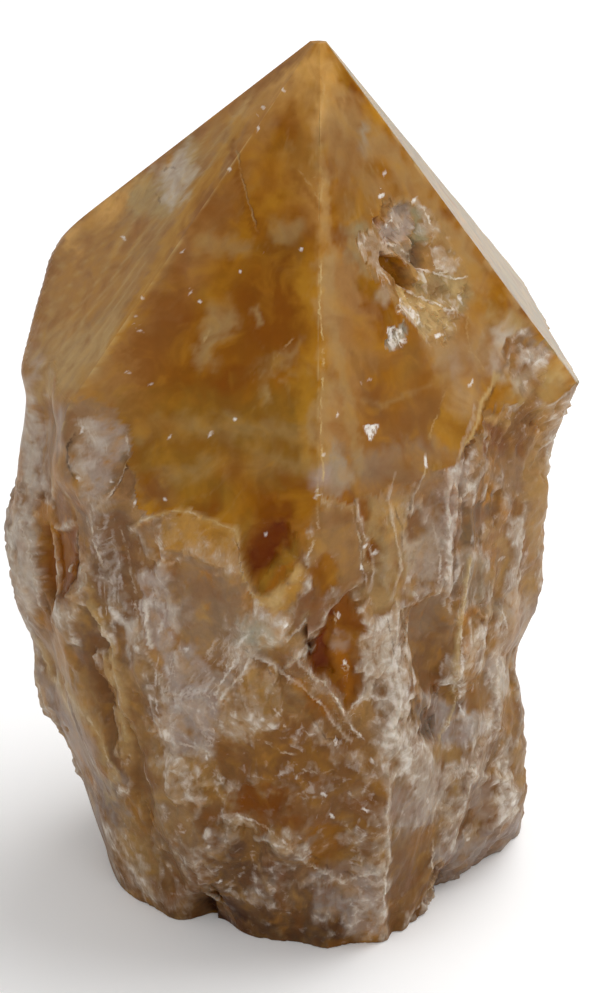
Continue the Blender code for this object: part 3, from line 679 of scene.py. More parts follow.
# Thin dark lines that the material draws: strength, pixels along it
DARK_THREADS = (
    (0.7, (232, 528, 239, 556, 244, 576, 254, 594)),
    (0.2, (352, 490, 357, 515, 361, 545, 363, 585)),
    (0.4, (496, 378, 486, 410, 476, 444)),
    (0.35, (474, 452, 464, 490, 458, 540, 460, 600)),
    (0.7, (74, 430, 68, 446, 69, 464, 74, 478)),
    (0.7, (126, 440, 128, 466, 118, 488, 108, 500)),
    (0.7, (76, 530, 74, 552, 66, 588)),
    (0.6, (242, 648, 250, 653, 256, 660)),
    (0.6, (288, 640, 298, 634, 306, 626)),
    (0.5, (264, 666, 274, 676, 278, 686)),
    (0.6, (418, 480, 414, 496, 408, 512)),
    (0.5, (394, 480, 388, 500)),
    (0.6, (418, 700, 412, 716, 420, 738)),
    (0.5, (382, 600, 392, 640, 400, 680)),
    (0.5, (312, 716, 326, 738, 350, 742)),
    (0.5, (110, 700, 120, 750, 126, 800)),
    (0.5, (300, 848, 330, 868, 360, 876)),
    (0.5, (390, 500, 402, 530, 404, 560)),
    (0.5, (236, 142, 242, 174, 250, 204, 260, 236)),
    (0.4, (146, 190, 158, 196, 161, 206)),
    (0.4, (160, 172, 168, 166, 176, 168)),
    (0.5, (384, 244, 400, 262, 420, 284, 404, 294)),
)

WOBBLE, CLEAR_WOBBLE = 8.0, 5.0  # how far a form's edge strays, in pixels: a wholly calm form is clear


def formed(canvas):
    """Relief of the named forms in mm, that of the clear ones alone, and how calm each point is."""
    relief, clear, calm = (np.zeros(canvas.across.shape) for _ in range(3))
    for _, _, _, height, calmness, edge, corners in AREAS:
        inside = canvas.area(corners, edge, CLEAR_WOBBLE if calmness == 1 else WOBBLE)
        relief += height * inside
        calm = mixed(calm, calmness, inside)
        if calmness == 1:
            clear += height * inside
    for _, _, _, height, width, points in LINES:
        relief += height * canvas.line(points, width)
    for height, corners in OUTLINE:
        relief += height * canvas.area(corners, OUTLINE_EDGE, behind=True)
    return relief, clear, calm


# The crystal pocket in the front right face: name, colour, depth in mm below the face, corners in pixels
POCKET = (
    ("ground", "tan", 0.2, (354, 240, 372, 228, 380, 208, 392, 198, 420, 198, 438, 214, 450, 240, 466, 266,
      474, 284, 466, 316, 452, 340, 432, 346, 418, 332, 398, 314, 382, 292, 370, 272)),
    ("yellow panel", "veil", 0.5, (421, 271, 452, 277, 472, 284, 468, 312, 452, 310, 430, 300, 418, 288)),
    ("left ledge", "dun", 0.35, (369, 234, 384, 250, 386, 266, 400, 287, 396, 298, 378, 276, 367, 254)),
    ("red strip", "red_brown", 0.6, (374, 216, 388, 212, 390, 222, 378, 228)),
    ("crystal", "lilac", 1.0, (380, 233, 390, 218, 406, 206, 417, 208, 413, 224, 408, 238, 392, 243)),
    ("shelf", "grey_green", 0.8, (415, 206, 423, 206, 425, 226, 423, 244, 416, 246, 412, 238, 418, 222)),
    ("cluster", "grey", 0.9, (388, 244, 406, 241, 417, 252, 418, 264, 404, 262)),
    ("red field", "dun", 0.4, (423, 246, 444, 243, 450, 262, 440, 271, 423, 269)),
    ("slit", "shadow_grey", 1.4, (411, 240, 425, 241, 426, 266, 415, 268)),
    ("hole", "honey", 2.6, (383, 249, 391, 255, 402, 264, 412, 273, 417, 282, 411, 289, 401, 285, 391, 275,
      384, 264)),
    ("network", "cream", 0.6, (397, 290, 412, 290, 432, 302, 454, 313, 456, 330, 440, 337, 424, 332,
      406, 314)),
    ("foot", "tan", 0.4, (431, 326, 447, 328, 448, 345, 434, 344)),
    ("chip", "grey_blue", 0.5, (388, 328, 402, 326, 406, 344, 396, 350, 388, 342)),
    ("triangle", "white", 0.15, (362, 425, 384, 423, 370, 441)),
)


def pocket_chips(points):
    """The chips of the pocket's crystals, as chips() gives them."""
    return chips(points + 0.5 * layered(points, 1.5, seed=151)[..., None], (2.1, 2.1, 2.1), seed=153)


def pocket(canvas, points):
    """(depth in mm below the polished face, how much of each point belongs to the pocket)."""
    depth = np.zeros(canvas.across.shape)
    for _, _, deep, corners in POCKET:
        inside = canvas.area(corners, edge=2.0, wobble=4.0)
        depth = np.maximum(depth, deep * inside) if deep < 1 else mixed(depth, deep, inside)
    inside = smooth(depth, 0.08, 0.2)
    return np.clip(depth + 0.38 * pocket_chips(points)[0] * inside, 0.05, None) * inside, inside


# Painting -----------------------------------------------------------------------------------------


class Paint:
    """The colour of every point of the grid and how much pale crust grows on it, built up in layers."""

    def __init__(self, shape, base):
        self.colour = np.tile(COLOURS[base], (*shape, 1))
        self.crust = np.zeros(shape)

    def lay(self, name, mask):
        """A named colour where the mask is 1, or crust if it is one of crust's."""
        mask = np.clip(mask, 0, 1)
        self.crust = mixed(self.crust, CRUST_SHARES.get(name, 0.0), mask)
        if name not in CRUST_SHARES:
            self.colour = mixed(self.colour, COLOURS[name], mask[..., None])


def paint_polished(paint, points, polished):
    """Swirled honey with milky veils, all the way round."""
    warp = 4.0 * np.stack([layered(points, 12.0, seed) for seed in (71, 72, 73)], axis=-1)
    swirl = layered(points + warp, (8, 8, 12), seed=75, layers=3)
    paint.lay("deep", polished * smooth(swirl, 0.0, 0.6))
    paint.lay("gold", polished * 0.6 * smooth(swirl, -0.2, -0.8))
    cloud = layered(points + 0.5 * warp, 5.0, seed=89, layers=2)
    paint.lay("olive", polished * 0.5 * smooth(cloud, 0.0, 0.7))
    paint.lay("orange", polished * 0.3 * smooth(cloud, -0.1, -0.7))
    wisps = 1 - np.abs(layered(points + 1.3 * warp, (6, 6, 4.5), seed=79, layers=4))
    paint.lay("veil", polished * 0.3 * smooth(wisps, 0.82, 1.0) * smooth(noise(points, 10, 83), -0.2, 0.5))


PANEL_COLOURS = ("brown", "tan", "mauve", "brown", "orange", "tan", "pink_tan", "mauve")


def paint_broken(paint, points, broken, surface):
    """Brown, tan and mauve panels that run into each other, all the way round."""
    paint.lay("tan", broken)
    paint.lay("pink_tan", broken * smooth(layered(points, 17.0, seed=101), -0.2, 0.5))
    for index, colour in enumerate(PANEL_COLOURS):
        share = len(PANEL_COLOURS) * surface["kind"] - index
        inside = (share >= 0) & (share < 1)
        paint.lay(colour, broken * inside * 0.7)
    medium = layered(points, 6.0, seed=103, layers=4)
    paint.lay("orange", broken * 0.4 * smooth(medium, 0.2, 0.8))
    paint.lay("mauve", broken * 0.6 * smooth(layered(points, 9.0, seed=107), 0.15, 0.6))
    paint.lay("brown", broken * 0.6 * smooth(layered(points, 4.0, seed=109, layers=4), 0.3, 0.9))
    paint.lay("brown", broken * surface["flaky"] * 0.6 * (surface["small_kind"] < 0.3))
    paint.lay("umber", broken * surface["flaky"] * 0.4 * (surface["small_kind"] > 0.85))


def paint_crust(paint, points, broken, crest, hollow, surface):
    """Pale crust and fibres on what stands out, and painted shade, brown and dark, in what lies deep."""
    broken = broken * (1 - 0.9 * surface["calm"])
    # Painted shade: brown in the grooves between the fibres, and brown and dark in the hollows.
    paint.lay("brown", broken * surface["fibrous"] * 0.3 * smooth(surface["fibres"], -0.1, -0.9))
    paint.lay("brown", broken * 0.5 * smooth(hollow, 0.1, 0.6))
    paint.lay("dark", broken * 0.35 * smooth(hollow, 0.5, 1.4))
    crust = 0.2 + 0.3 * surface["crust"] + 0.12 * surface["fibrous"] * surface["fibres"]
    crust += 0.25 * surface["ribs"] + 0.6 * np.clip(crest, -0.3, 0.4)
    crusted_flakes = 0.25 * (surface["small_kind"] % 0.3 < 0.1)
    crust += surface["flaky"] * (0.15 * smooth(surface["small_gap"], 0.12, 0.03) + crusted_flakes - 0.1)
    crust += 0.25 * layered(points, 4.0, seed=127, layers=5, share=0.7) - 0.4 * smooth(hollow, 0.1, 0.8)
    crust = np.clip(crust, 0, 1) * broken
    paint.crust = paint.crust + (1 - paint.crust) * crust


# Painted on the polished faces: colour, strength, softness of the edge in pixels, corners in pixels. The
# first is the left face, which also has streaks.
FACES = (
    ("tan", 0.7, 6, (128, 196, 212, 132, 262, 96, 236, 150, 200, 200, 150, 280, 112, 345, 60, 400, 20, 400,
      45, 290, 75, 235)),
    ("straw", 1, 6, (60, 234, 130, 182, 150, 180, 118, 216, 75, 252)),
    ("straw", 0.4, 7, (230, 120, 300, 66, 318, 60, 290, 100, 250, 140)),
    ("veil", 0.85, 4, (126, 192, 160, 160, 192, 138, 198, 150, 192, 180, 182, 205, 168, 218, 140, 218,
      126, 205)),
    ("pale", 0.75, 4, (150, 166, 190, 146, 193, 165, 184, 198, 170, 214, 162, 200, 158, 180)),
    ("cream", 0.35, 7, (50, 332, 110, 316, 122, 340, 92, 385, 60, 402, 40, 390)),
    ("pale", 0.7, 5, (26, 328, 38, 324, 40, 370, 30, 394, 24, 386)),
    ("deep", 0.6, 8, (200, 170, 240, 150, 252, 210, 236, 240, 190, 236)),
    ("honey", 0.35, 3, (236, 140, 241, 172, 250, 200, 260, 236, 300, 244, 321, 200, 321, 110, 290, 92,
      250, 118)),
    ("gold", 0.5, 5, (256, 200, 282, 196, 290, 226, 264, 232)),
    ("deep", 0.7, 12, (150, 290, 200, 250, 300, 250, 318, 300, 300, 360, 250, 400, 150, 400, 118, 350)),
    ("deep", 0.7, 8, (240, 288, 300, 284, 306, 330, 280, 350, 250, 344)),
    ("olive", 0.75, 14, (120, 400, 320, 380, 320, 505, 180, 512, 128, 480)),
    ("gold", 0.55, 6, (300, 250, 320, 245, 321, 460, 308, 460, 302, 380)),
    ("veil", 0.4, 5, (196, 240, 222, 233, 248, 240, 246, 256, 218, 260, 198, 254)),
    ("veil", 0.55, 5, (208, 300, 234, 296, 232, 330, 214, 366, 196, 368, 194, 350, 206, 330)),
    ("veil", 0.35, 3, (256, 388, 262, 370, 276, 352, 292, 338, 298, 344, 290, 358, 276, 372, 264, 388)),
    ("veil", 0.5, 3, (252, 312, 262, 308, 266, 326, 256, 330)),
    ("veil", 0.5, 3, (252, 388, 264, 386, 266, 404, 254, 404)),
    ("veil", 0.32, 7, (134, 424, 220, 418, 320, 424, 320, 440, 220, 438, 136, 444)),
    ("veil", 0.32, 7, (170, 468, 200, 458, 260, 452, 320, 454, 320, 476, 250, 476, 190, 484, 134, 492)),
    ("dark_amber", 0.35, 8, (244, 486, 316, 482, 318, 506, 286, 508, 256, 520)),
    # Painted highlight: a cream band along the centre edge.
    ("cream", 0.4, 4, (315, 96, 330, 96, 332, 250, 334, 470, 319, 470, 318, 250)),
    ("straw", 0.7, 6, (288, 74, 322, 40, 340, 66, 340, 92, 318, 100, 300, 92)),
    ("straw", 0.85, 3, (318, 98, 337, 97, 336, 116, 322, 130, 318, 120)),
    ("orange", 0.35, 8, (60, 250, 120, 200, 132, 260, 100, 320, 60, 340, 50, 300)),
    ("straw", 0.35, 10, (284, 90, 318, 60, 322, 240, 296, 240)),
    ("brown", 0.85, 6, (138, 476, 168, 474, 172, 500, 144, 502)),
    ("milk", 0.15, 12, (330, 100, 400, 160, 470, 250, 500, 320, 450, 310, 420, 210, 360, 200, 326, 140)),
    ("orange", 0.4, 8, (240, 140, 300, 100, 318, 120, 316, 160, 280, 200, 250, 190)),
    ("tan", 1.0, 10, (330, 80, 400, 150, 470, 240, 520, 320, 480, 330, 450, 300, 420, 200, 360, 190,
      326, 140)),
    ("grey_blue", 0.55, 3, (358, 128, 366, 130, 369, 150, 364, 158, 359, 146)),
    ("brown", 0.45, 8, (336, 130, 356, 130, 372, 190, 352, 200, 338, 180)),
    ("dun", 0.4, 9, (332, 130, 380, 140, 430, 200, 420, 230, 340, 236, 330, 200)),
    ("dun", 0.5, 10, (326, 240, 372, 330, 440, 340, 500, 320, 512, 380, 470, 460, 462, 520, 330, 515)),
    ("pink_tan", 0.6, 6, (324, 240, 350, 240, 366, 300, 372, 380, 352, 460, 324, 460)),
    ("grey_green", 0.55, 5, (344, 232, 372, 226, 378, 254, 366, 268, 346, 258)),
    ("brown", 0.5, 5, (366, 352, 420, 350, 450, 392, 436, 424, 386, 420, 366, 400)),
    ("honey", 0.7, 5, (374, 360, 394, 356, 402, 374, 390, 388, 374, 384)),
    ("brown", 0.6, 5, (386, 412, 430, 398, 430, 440, 414, 458, 390, 452)),
    ("honey", 0.35, 8, (340, 380, 366, 390, 372, 430, 350, 452, 336, 430)),
    ("tan", 0.6, 8, (430, 300, 470, 300, 486, 350, 470, 384, 440, 370)),
    ("lilac", 0.24, 4, (448, 360, 462, 354, 470, 376, 460, 386)),
    ("gold", 0.45, 2, (446, 384, 478, 384, 470, 452, 440, 474, 428, 462, 434, 424)),
    ("milk", 0.2, 9, (430, 280, 480, 290, 500, 350, 486, 400, 440, 380, 426, 330)),
    ("mauve", 0.9, 8, (350, 452, 430, 440, 470, 456, 462, 500, 420, 520, 356, 516)),
    ("umber", 0.25, 7, (346, 470, 400, 474, 460, 466, 456, 500, 420, 516, 350, 516)),
    # Painted reflection: the next three patches pale the narrow face at the right.
    ("veil", 0.7, 6, (490, 314, 520, 314, 560, 372, 566, 396, 520, 420, 496, 384)),
    ("cream", 0.7, 4, (540, 346, 566, 368, 566, 384, 546, 372)),
    ("pale", 0.75, 5, (490, 330, 508, 322, 516, 360, 506, 388, 492, 372)),
    ("grey", 0.75, 4, (323, 462, 334, 450, 344, 460, 348, 478, 338, 496, 322, 504)),
)

# Bands on the polished faces: colour, strength, width in pixels, pixels along it
FACE_LINES = (
    ("gold", 0.5, 11, (240, 124, 200, 190, 172, 238, 150, 276, 128, 318, 108, 350)),
    ("deep", 0.6, 5, (232, 142, 236, 173, 245, 202, 255, 235)),
    ("deep", 0.4, 5, (293, 174, 308, 193, 317, 206)),
    ("veil", 0.3, 12, (328, 260, 334, 330, 344, 390, 354, 440, 362, 470)),
    ("veil", 0.2, 5, (364, 402, 384, 404, 404, 396, 430, 384)),
    ("brown", 0.5, 8, (352, 352, 366, 396, 380, 414)),
)

# Small patches of colour on the photographed side: colour, strength, radius and place in pixels
SPOTS = (
    ("umber", 0.6, 11, 150, 688), ("umber", 0.5, 8, 154, 712), ("brown", 0.8, 12, 305, 725),
    ("deep", 0.7, 9, 331, 681), ("umber", 0.6, 9, 215, 780), ("umber", 0.5, 9, 230, 820),
    ("umber", 0.4, 9, 265, 875), ("brown", 0.6, 9, 355, 770), ("brown", 0.7, 9, 408, 682),
    ("brown", 0.7, 8, 447, 672), ("brown", 0.5, 8, 515, 800), ("brown", 0.5, 9, 85, 450),
    ("brown", 0.6, 12, 65, 592), ("brown", 0.5, 11, 163, 492), ("brown", 0.6, 8, 345, 515),
    ("brown", 0.5, 7, 362, 500), ("pale", 0.6, 10, 225, 680), ("pale", 0.6, 10, 208, 752),
    ("lilac", 0.5, 8, 340, 640), ("tan", 0.6, 14, 178, 828), ("milk", 0.5, 10, 500, 612),
    ("milk", 0.5, 10, 495, 690), ("lilac", 0.6, 10, 318, 480), ("milk", 0.5, 8, 381, 297),
    # The milk spot at 520, 382 is painted reflection on the narrow face at the right.
    ("veil", 0.45, 14, 285, 232), ("milk", 0.4, 12, 520, 382), ("deep", 0.5, 14, 152, 484),
    ("milk", 0.25, 18, 465, 400),
)

# White flecks, partly white chips and partly painted glints: strength, length in pixels, pixels
FLECKS = (
    (0.8, 4, (228, 169, 258, 129, 264, 108, 190, 290, 134, 315, 165, 499, 384, 173, 361, 383, 336, 416)),
    (0.9, 3, (282, 89, 124, 239, 182, 251, 199, 300, 267, 532, 142, 298, 140, 330, 240, 272, 262, 252,
      300, 250, 128, 372, 150, 384, 236, 420, 112, 480)),
    (1.0, 7, (382, 195, 416, 200, 403, 308, 413, 313, 465, 300, 440, 336, 388, 330, 393, 338, 400, 332,
      403, 342, 396, 347, 408, 310, 415, 316, 405, 304, 422, 322, 394, 228, 398, 222, 504, 802, 392, 330,
      398, 338, 394, 346, 471, 382)),
    (0.9, 6, (211, 434, 169, 438, 375, 554, 132, 505, 324, 794, 364, 809, 331, 816, 218, 880, 77, 477,
      80, 430, 206, 758, 336, 742, 284, 628, 362, 568, 365, 546, 340, 616, 346, 664)),
    (0.6, 4, (371, 380, 323, 456, 318, 492, 316, 500, 318, 704, 290, 676, 262, 716, 297, 778, 370, 760,
      404, 690, 446, 560, 500, 560, 496, 660, 430, 800, 470, 840, 30, 540, 186, 650, 160, 630)),
)

# White strokes that make up the larger bright marks, the first four a painted glint: strength, pixels along
# each
STROKES = (
    (1.0, (363, 427, 372, 426, 380, 425)),
    (1.0, (365, 430, 377, 430)),
    (1.0, (367, 434, 374, 433)),
    (1.0, (369, 438, 371, 437)),
    (0.9, (424, 457, 426, 464, 427, 469)),
)

# Short pale fibres: strength, number, length in pixels, left, top, right and bottom pixel, and lean
HATCHING = (
    (0.3, 40, 12, (84, 512, 114, 620), 0.16),
    (0.4, 22, 14, (136, 580, 170, 700), 0.1),
    (0.4, 26, 14, (388, 640, 412, 760), 0.05),
    (0.4, 20, 14, (450, 470, 500, 600), -0.05),
    (0.35, 20, 12, (224, 630, 262, 690), -0.7),
    (0.4, 20, 12, (440, 650, 510, 740), -0.05),
)


def paint_faces(paint, canvas, points, polished):
    """The polished faces of the photographed side."""
    edge = np.array(LEFT_EDGE) / np.linalg.norm(LEFT_EDGE)
    along = (points @ edge)[..., None] * edge
    streak = noise(points - 0.9 * along, 1.1, seed=141) + 0.6 * noise(points - 0.93 * along, 0.6, seed=143)
    for colour, strength, softness, corners in FACES:
        inside = canvas.area(corners, 1.6 * softness, 9.0)
        paint.lay(colour, polished * strength * inside * canvas.soft_fade)
    *_, softness, corners = FACES[0]
    left_face = polished * canvas.area(corners, softness)
    paint.lay("cream", left_face * 0.3 * smooth(streak, 0.1, 0.9))
    paint.lay("mauve", left_face * 0.3 * smooth(streak, -0.1, -0.9))
    for colour, strength, width, line in FACE_LINES:
        paint.lay(colour, polished * strength * canvas.line(line, width))


def paint_pocket(paint, canvas, points, inside):
    """The crystal pocket, with its hole laid again over the crust of the rest."""
    for _, colour, _, corners in POCKET:
        paint.lay(colour, inside * 0.75 * canvas.area(corners, 2.5))
    _, gap, kind = pocket_chips(points)
    paint.lay("white", inside * 0.6 * smooth(gap, 0.09, 0.02) * smooth(noise(points, 3.0, 157), -0.3, 0.4))
    paint.lay("crust", inside * 0.6 * (kind > 0.76))
    paint.lay("shadow_grey", inside * 0.3 * (kind < 0.15))
    for name, colour, _, corners in POCKET:
        if name == "hole":
            paint.lay(colour, inside * 0.8 * canvas.area(corners, 2.5))


def paint_forms(paint, canvas, broken):
    """The named forms of the broken part. The wholly calm ones are clear, and reach into the polish."""
    for _, colour, strength, _, calm, edge, corners in AREAS:
        if calm == 1:
            paint.lay(colour, strength * canvas.area(corners, 1.2 * edge, CLEAR_WOBBLE))
        else:
            paint.lay(colour, strength * canvas.area(corners, 1.5 * edge, WOBBLE) * broken * canvas.fade)


def paint_marks(paint, canvas):
    """The small patches, and the ridges and cracks over them."""
    for colour, strength, radius, across, down in SPOTS:
        paint.lay(colour, strength * canvas.spot(across, down, radius))
    for _, colour, strength, _, width, line in LINES:
        paint.lay(colour, strength * canvas.line(line, width))


def fleck_threads():
    """The flecks as very short thin lines, each its own way round, with the strokes and the hatching."""
    lines = list(STROKES)
    random = np.random.default_rng(17)
    for strength, count, length, (left, top, right, bottom), lean in HATCHING:
        for x, y, size, amount in random.random((count, 4)):
            x, y, size = left + (right - left) * x, top + (bottom - top) * y, length * (0.5 + size)
            x += lean * (y - top)
            lines.append((strength * (0.4 + 0.6 * amount), (x, y, x + lean * size, y + size)))
    for strength, length, places in FLECKS:
        for x, y in pixels(places):
            turn = 2.4 * (x + y)
            run, fall = 0.5 * length * math.cos(turn), 0.5 * length * math.sin(turn)
            lines.append((strength, (x - run, y - fall, x + run, y + fall)))
    return lines


# The stone ----------------------------------------------------------------------------------------


def calm_side(angles, heights):
    """1 on the smooth shoulder under the left face's edge, and 0 away from it."""
    turned = np.abs((angles - SHOULDER_TOWARDS + math.pi) % math.tau - math.pi)
    across = smooth(turned, SHOULDER_SPREAD + SHOULDER_FADE, SHOULDER_SPREAD)
    return across[None, :] * smooth(heights, *SHOULDER_STARTS)[:, None]


def worn_shoulder(plane_reach, reach, depth, heights, canvas):
    """The polished faces and the wall under them, met in a rounded edge, with the far corner worn away."""
    wall = reach.copy()
    for row in range(1, len(wall)):
        wall[row] = np.where(depth[row] > OFF_THE_FACE, wall[row], wall[row - 1])
    wall = blurred(wall, 2.0, 1.5) + SHOULDER_BULGE * smooth(heights, *BULGE_STARTS)[:, None]
    rounding = np.log1p(np.exp(-np.abs(plane_reach - wall) / SHOULDER_ROUND))
    edge = np.minimum(plane_reach, wall) - SHOULDER_ROUND * rounding
    (x0, y0), (x1, y1) = WORN_CORNER
    outside = (canvas.across - x0) * (y0 - y1) + (canvas.down - y0) * (x1 - x0)
    outside /= math.hypot(x1 - x0, y1 - y0)
    return edge - 2 * MM_IN_PIXEL * np.log1p(np.exp(np.clip(outside, -30, 30) / 2))


def broken_share(canvas, points, depth, evened, calm_back):
    """1 on the broken surface and 0 on the polished faces, with a ragged edge between them."""
    ragged = 0.35 * layered(points, 1.8, seed=61) + 0.2 * layered(points, 0.9, seed=62)
    broken = blurred((depth > OFF_THE_FACE).astype(float), 1.5, 1.8)
    for corners in BROKEN_TOO:
        broken = np.maximum(broken, canvas.area(corners, 2.0))
    ragged = ragged * smooth(broken, 0, 0.25) * smooth(broken, 1, 0.75) * (1 - calm_back)
    broken = smooth(broken + ragged, 0.38, 0.62)
    return mixed(broken, smooth(blurred(broken, 4, 6), 0.2, 0.8), evened)


def rough_reach(canvas, reach, plane_reach, relief):
    """Distance from the tip's axis to the broken surface, with its relief and its worn places."""
    sunk = np.clip(blurred(reach, 9.0, 14.0) - reach - 0.8, 0, None)
    rough = blurred(reach + 0.7 * sunk, 1.2, 1.5) + relief - 0.1
    for edge, corners in WORN:
        worn = canvas.area(corners, edge, behind=True)
        rough = mixed(rough, blurred(rough, 5, 7), worn)
    return np.minimum(rough, plane_reach - LEAST_DEPTH)


def painted(canvas, points, reach, angles, surface):
    """The stone's colour and crust, all the way round and then form by form."""
    paint = Paint(reach.shape, "honey")
    broken, calm_back, in_pocket = surface["broken"], surface["calm_back"], surface["in_pocket"]
    stony = broken * (1 - calm_back)
    paint_polished(paint, points, 1 - stony)
    paint.lay("pink_tan", 0.5 * calm_back)
    paint_broken(paint, points, stony, surface)
    # Painted reflection: grey-green on the narrow polished face beyond the right edge.
    beyond_right_edge = (angles > RIGHT_EDGE) & (angles < RIGHT_EDGE + REFLECTION_SIDE)
    paint.lay("grey_green", 0.65 * (1 - stony) * beyond_right_edge)
    paint_faces(paint, canvas, points, 1 - stony)
    paint_pocket(paint, canvas, points, in_pocket * (1 - broken))
    paint_forms(paint, canvas, broken)
    crest, hollow = reach - blurred(reach, 3.0, 4.0), blurred(reach, 6.0, 8.0) - reach
    paint_crust(paint, points, broken, crest, hollow, surface)
    # Painted highlight: cream along the worn edges between the polished faces.
    paint.lay("cream", (1 - stony) * surface["wear"] * smooth(canvas.mottle, 0.2, 0.7) * 0.6)
    paint_marks(paint, canvas)
    # Painted shade: the broken part's colour grows darker towards the foot.
    paint.colour *= (1 - 0.28 * broken * smooth(points[..., 2], 75, 0))[..., None]
    return paint


def shape_and_colour():
    """(points, what the material reads at each, the tip) of the stone's grid, in the row's frame and mm."""
    points, corners = triangles_of(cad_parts["calcite_point"].data)
    normals, tip = polished_planes(points, corners)
    angles, edge_columns = column_angles(normals)
    heights = crowded(LOWEST_ROW, HIGHEST_ROW, ROWS, lambda height: np.interp(height, *zip(*ROW_CROWDS)))
    reach = scan(points, corners, tip, angles, heights)
    plane_reach = reach_of_faces(normals, tip, angles, heights)

    above_pocket = heights[:, None] > POCKET_ABOVE
    start = around_axis(np.where(above_pocket, plane_reach, reach), angles, heights)
    canvas = Canvas(start)
    pocket_depth, in_pocket = pocket(canvas, start)
    reach = np.where(above_pocket & (np.abs(angles - POCKET_TOWARDS) < POCKET_SPREAD), plane_reach, reach)
    depth = plane_reach - reach
    evened = canvas.area(EVENED, 7.0)
    reach = mixed(reach, blurred(np.maximum(reach, blurred(reach, 12, 18)), 6, 9), evened)
    calm_back = calm_side(angles, heights)
    broken = broken_share(canvas, start, depth, evened, calm_back)

    upright = leaning(start, angles)
    surface = broken_surface(start, upright)
    forms, clear_forms, calm = formed(canvas)
    calm = np.maximum(calm, calm_back)
    relief = surface["relief"] * (1 - 0.75 * calm) * (1 - 0.8 * calm_back) + forms
    rough = rough_reach(canvas, reach, plane_reach, relief)
    # Worn edges between the polished faces: rounded in the shape, and given a painted highlight in the
    # colour.
    wear = smooth(noise(start, 4.0, seed=63), -0.6, 0.6) * np.isin(np.arange(len(angles)), edge_columns)
    smooth_side = plane_reach - EDGE_WEAR * wear + np.minimum(clear_forms, 0)
    final = mixed(smooth_side, rough, broken) - pocket_depth * (1 - broken)
    final = mixed(final, worn_shoulder(plane_reach, reach, depth, heights, canvas), calm_back)
    shape = around_axis(final, angles, heights)

    surface.update(broken=broken, calm=calm, calm_back=calm_back, in_pocket=in_pocket, wear=wear)
    paint = painted(canvas, shape, final, angles, surface)
    polish = np.maximum((1 - broken) * (1 - 0.8 * in_pocket), 0.7 * calm)
    fibrous = np.clip((surface["fibrous"] + 0.3) * (1 - canvas.area(FLAKY, 12.0)), 0, 1)
    layers = {"stone_colour": paint.colour, "upright": upright * MM, "polish": polish, "crust": paint.crust,
              "fibrous": fibrous}
    ridges = [(LINE_DRAWN, points) for *_, height, _, points in LINES if height > 0]
    marks = {"ridge": ridges, "bright": BRIGHT_THREADS, "dark": DARK_THREADS, "fleck": fleck_threads()}
    for name, lines in marks.items():
        layers[name], layers[name + "_strength"] = canvas.threads(lines)
    return shape + np.array([tip[0], tip[1], 0]), layers, tip


def stone_mesh():
    """(mesh, tip): the stone as one closed mesh, with what its material reads on its points."""
    grid, layers, tip = shape_and_colour()
    lowest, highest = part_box("calcite_point")
    grid = np.clip(grid, np.array(lowest) / MM, np.array(highest) / MM)
    rows, columns = grid.shape[:2]
    centre = np.array([tip[0], tip[1], 0.0])
    rings = [centre + (grid[0] - centre) * [share, share, 0] for share in BASE_RINGS]
    summit = grid[-1].mean(axis=0) + [0, 0, SUMMIT_ABOVE]
    points = np.concatenate([grid.reshape(-1, 3), *rings, [centre], [summit]])

    first_ring = rows * columns
    base_centre = first_ring + len(rings) * columns
    top = base_centre + 1
    around = np.arange(columns)
    following = (around + 1) % columns
    starts = [*range(first_ring, base_centre, columns)][::-1] + [row * columns for row in range(rows)]
    quads = [np.stack([lower + around, lower + following, upper + following, upper + around], axis=1)
             for lower, upper in zip(starts, starts[1:])]
    fans = [np.stack([np.full(columns, base_centre), starts[0] + following, starts[0] + around], axis=1),
            np.stack([np.full(columns, top), starts[-1] + around, starts[-1] + following], axis=1)]
    mesh = bpy.data.meshes.new("calcite_stone")
    faces = np.concatenate(quads).tolist() + np.concatenate(fans).tolist()
    mesh.from_pydata((points * MM).tolist(), [], faces)

    kinds = {"stone_colour": ("FLOAT_COLOR", "color"), "upright": ("FLOAT_VECTOR", "vector")}
    for name, values in layers.items():
        kind, key = kinds.get(name, ("FLOAT", "value"))
        ends = [values[0]] * len(rings) + [values[0, :1], values[-1, :1]]
        values = np.concatenate([values.reshape(-1, *values.shape[2:]), *ends])
        if kind == "FLOAT_COLOR":
            values = np.c_[values, np.ones(len(values))]
        mesh.attributes.new(name, kind, "POINT").data.foreach_set(key, values.ravel())
    mesh.shade_smooth()
    mesh.set_sharp_from_angle(angle=SHARP_ANGLE)
    return mesh, tip


# Material -----------------------------------------------------------------------------------------


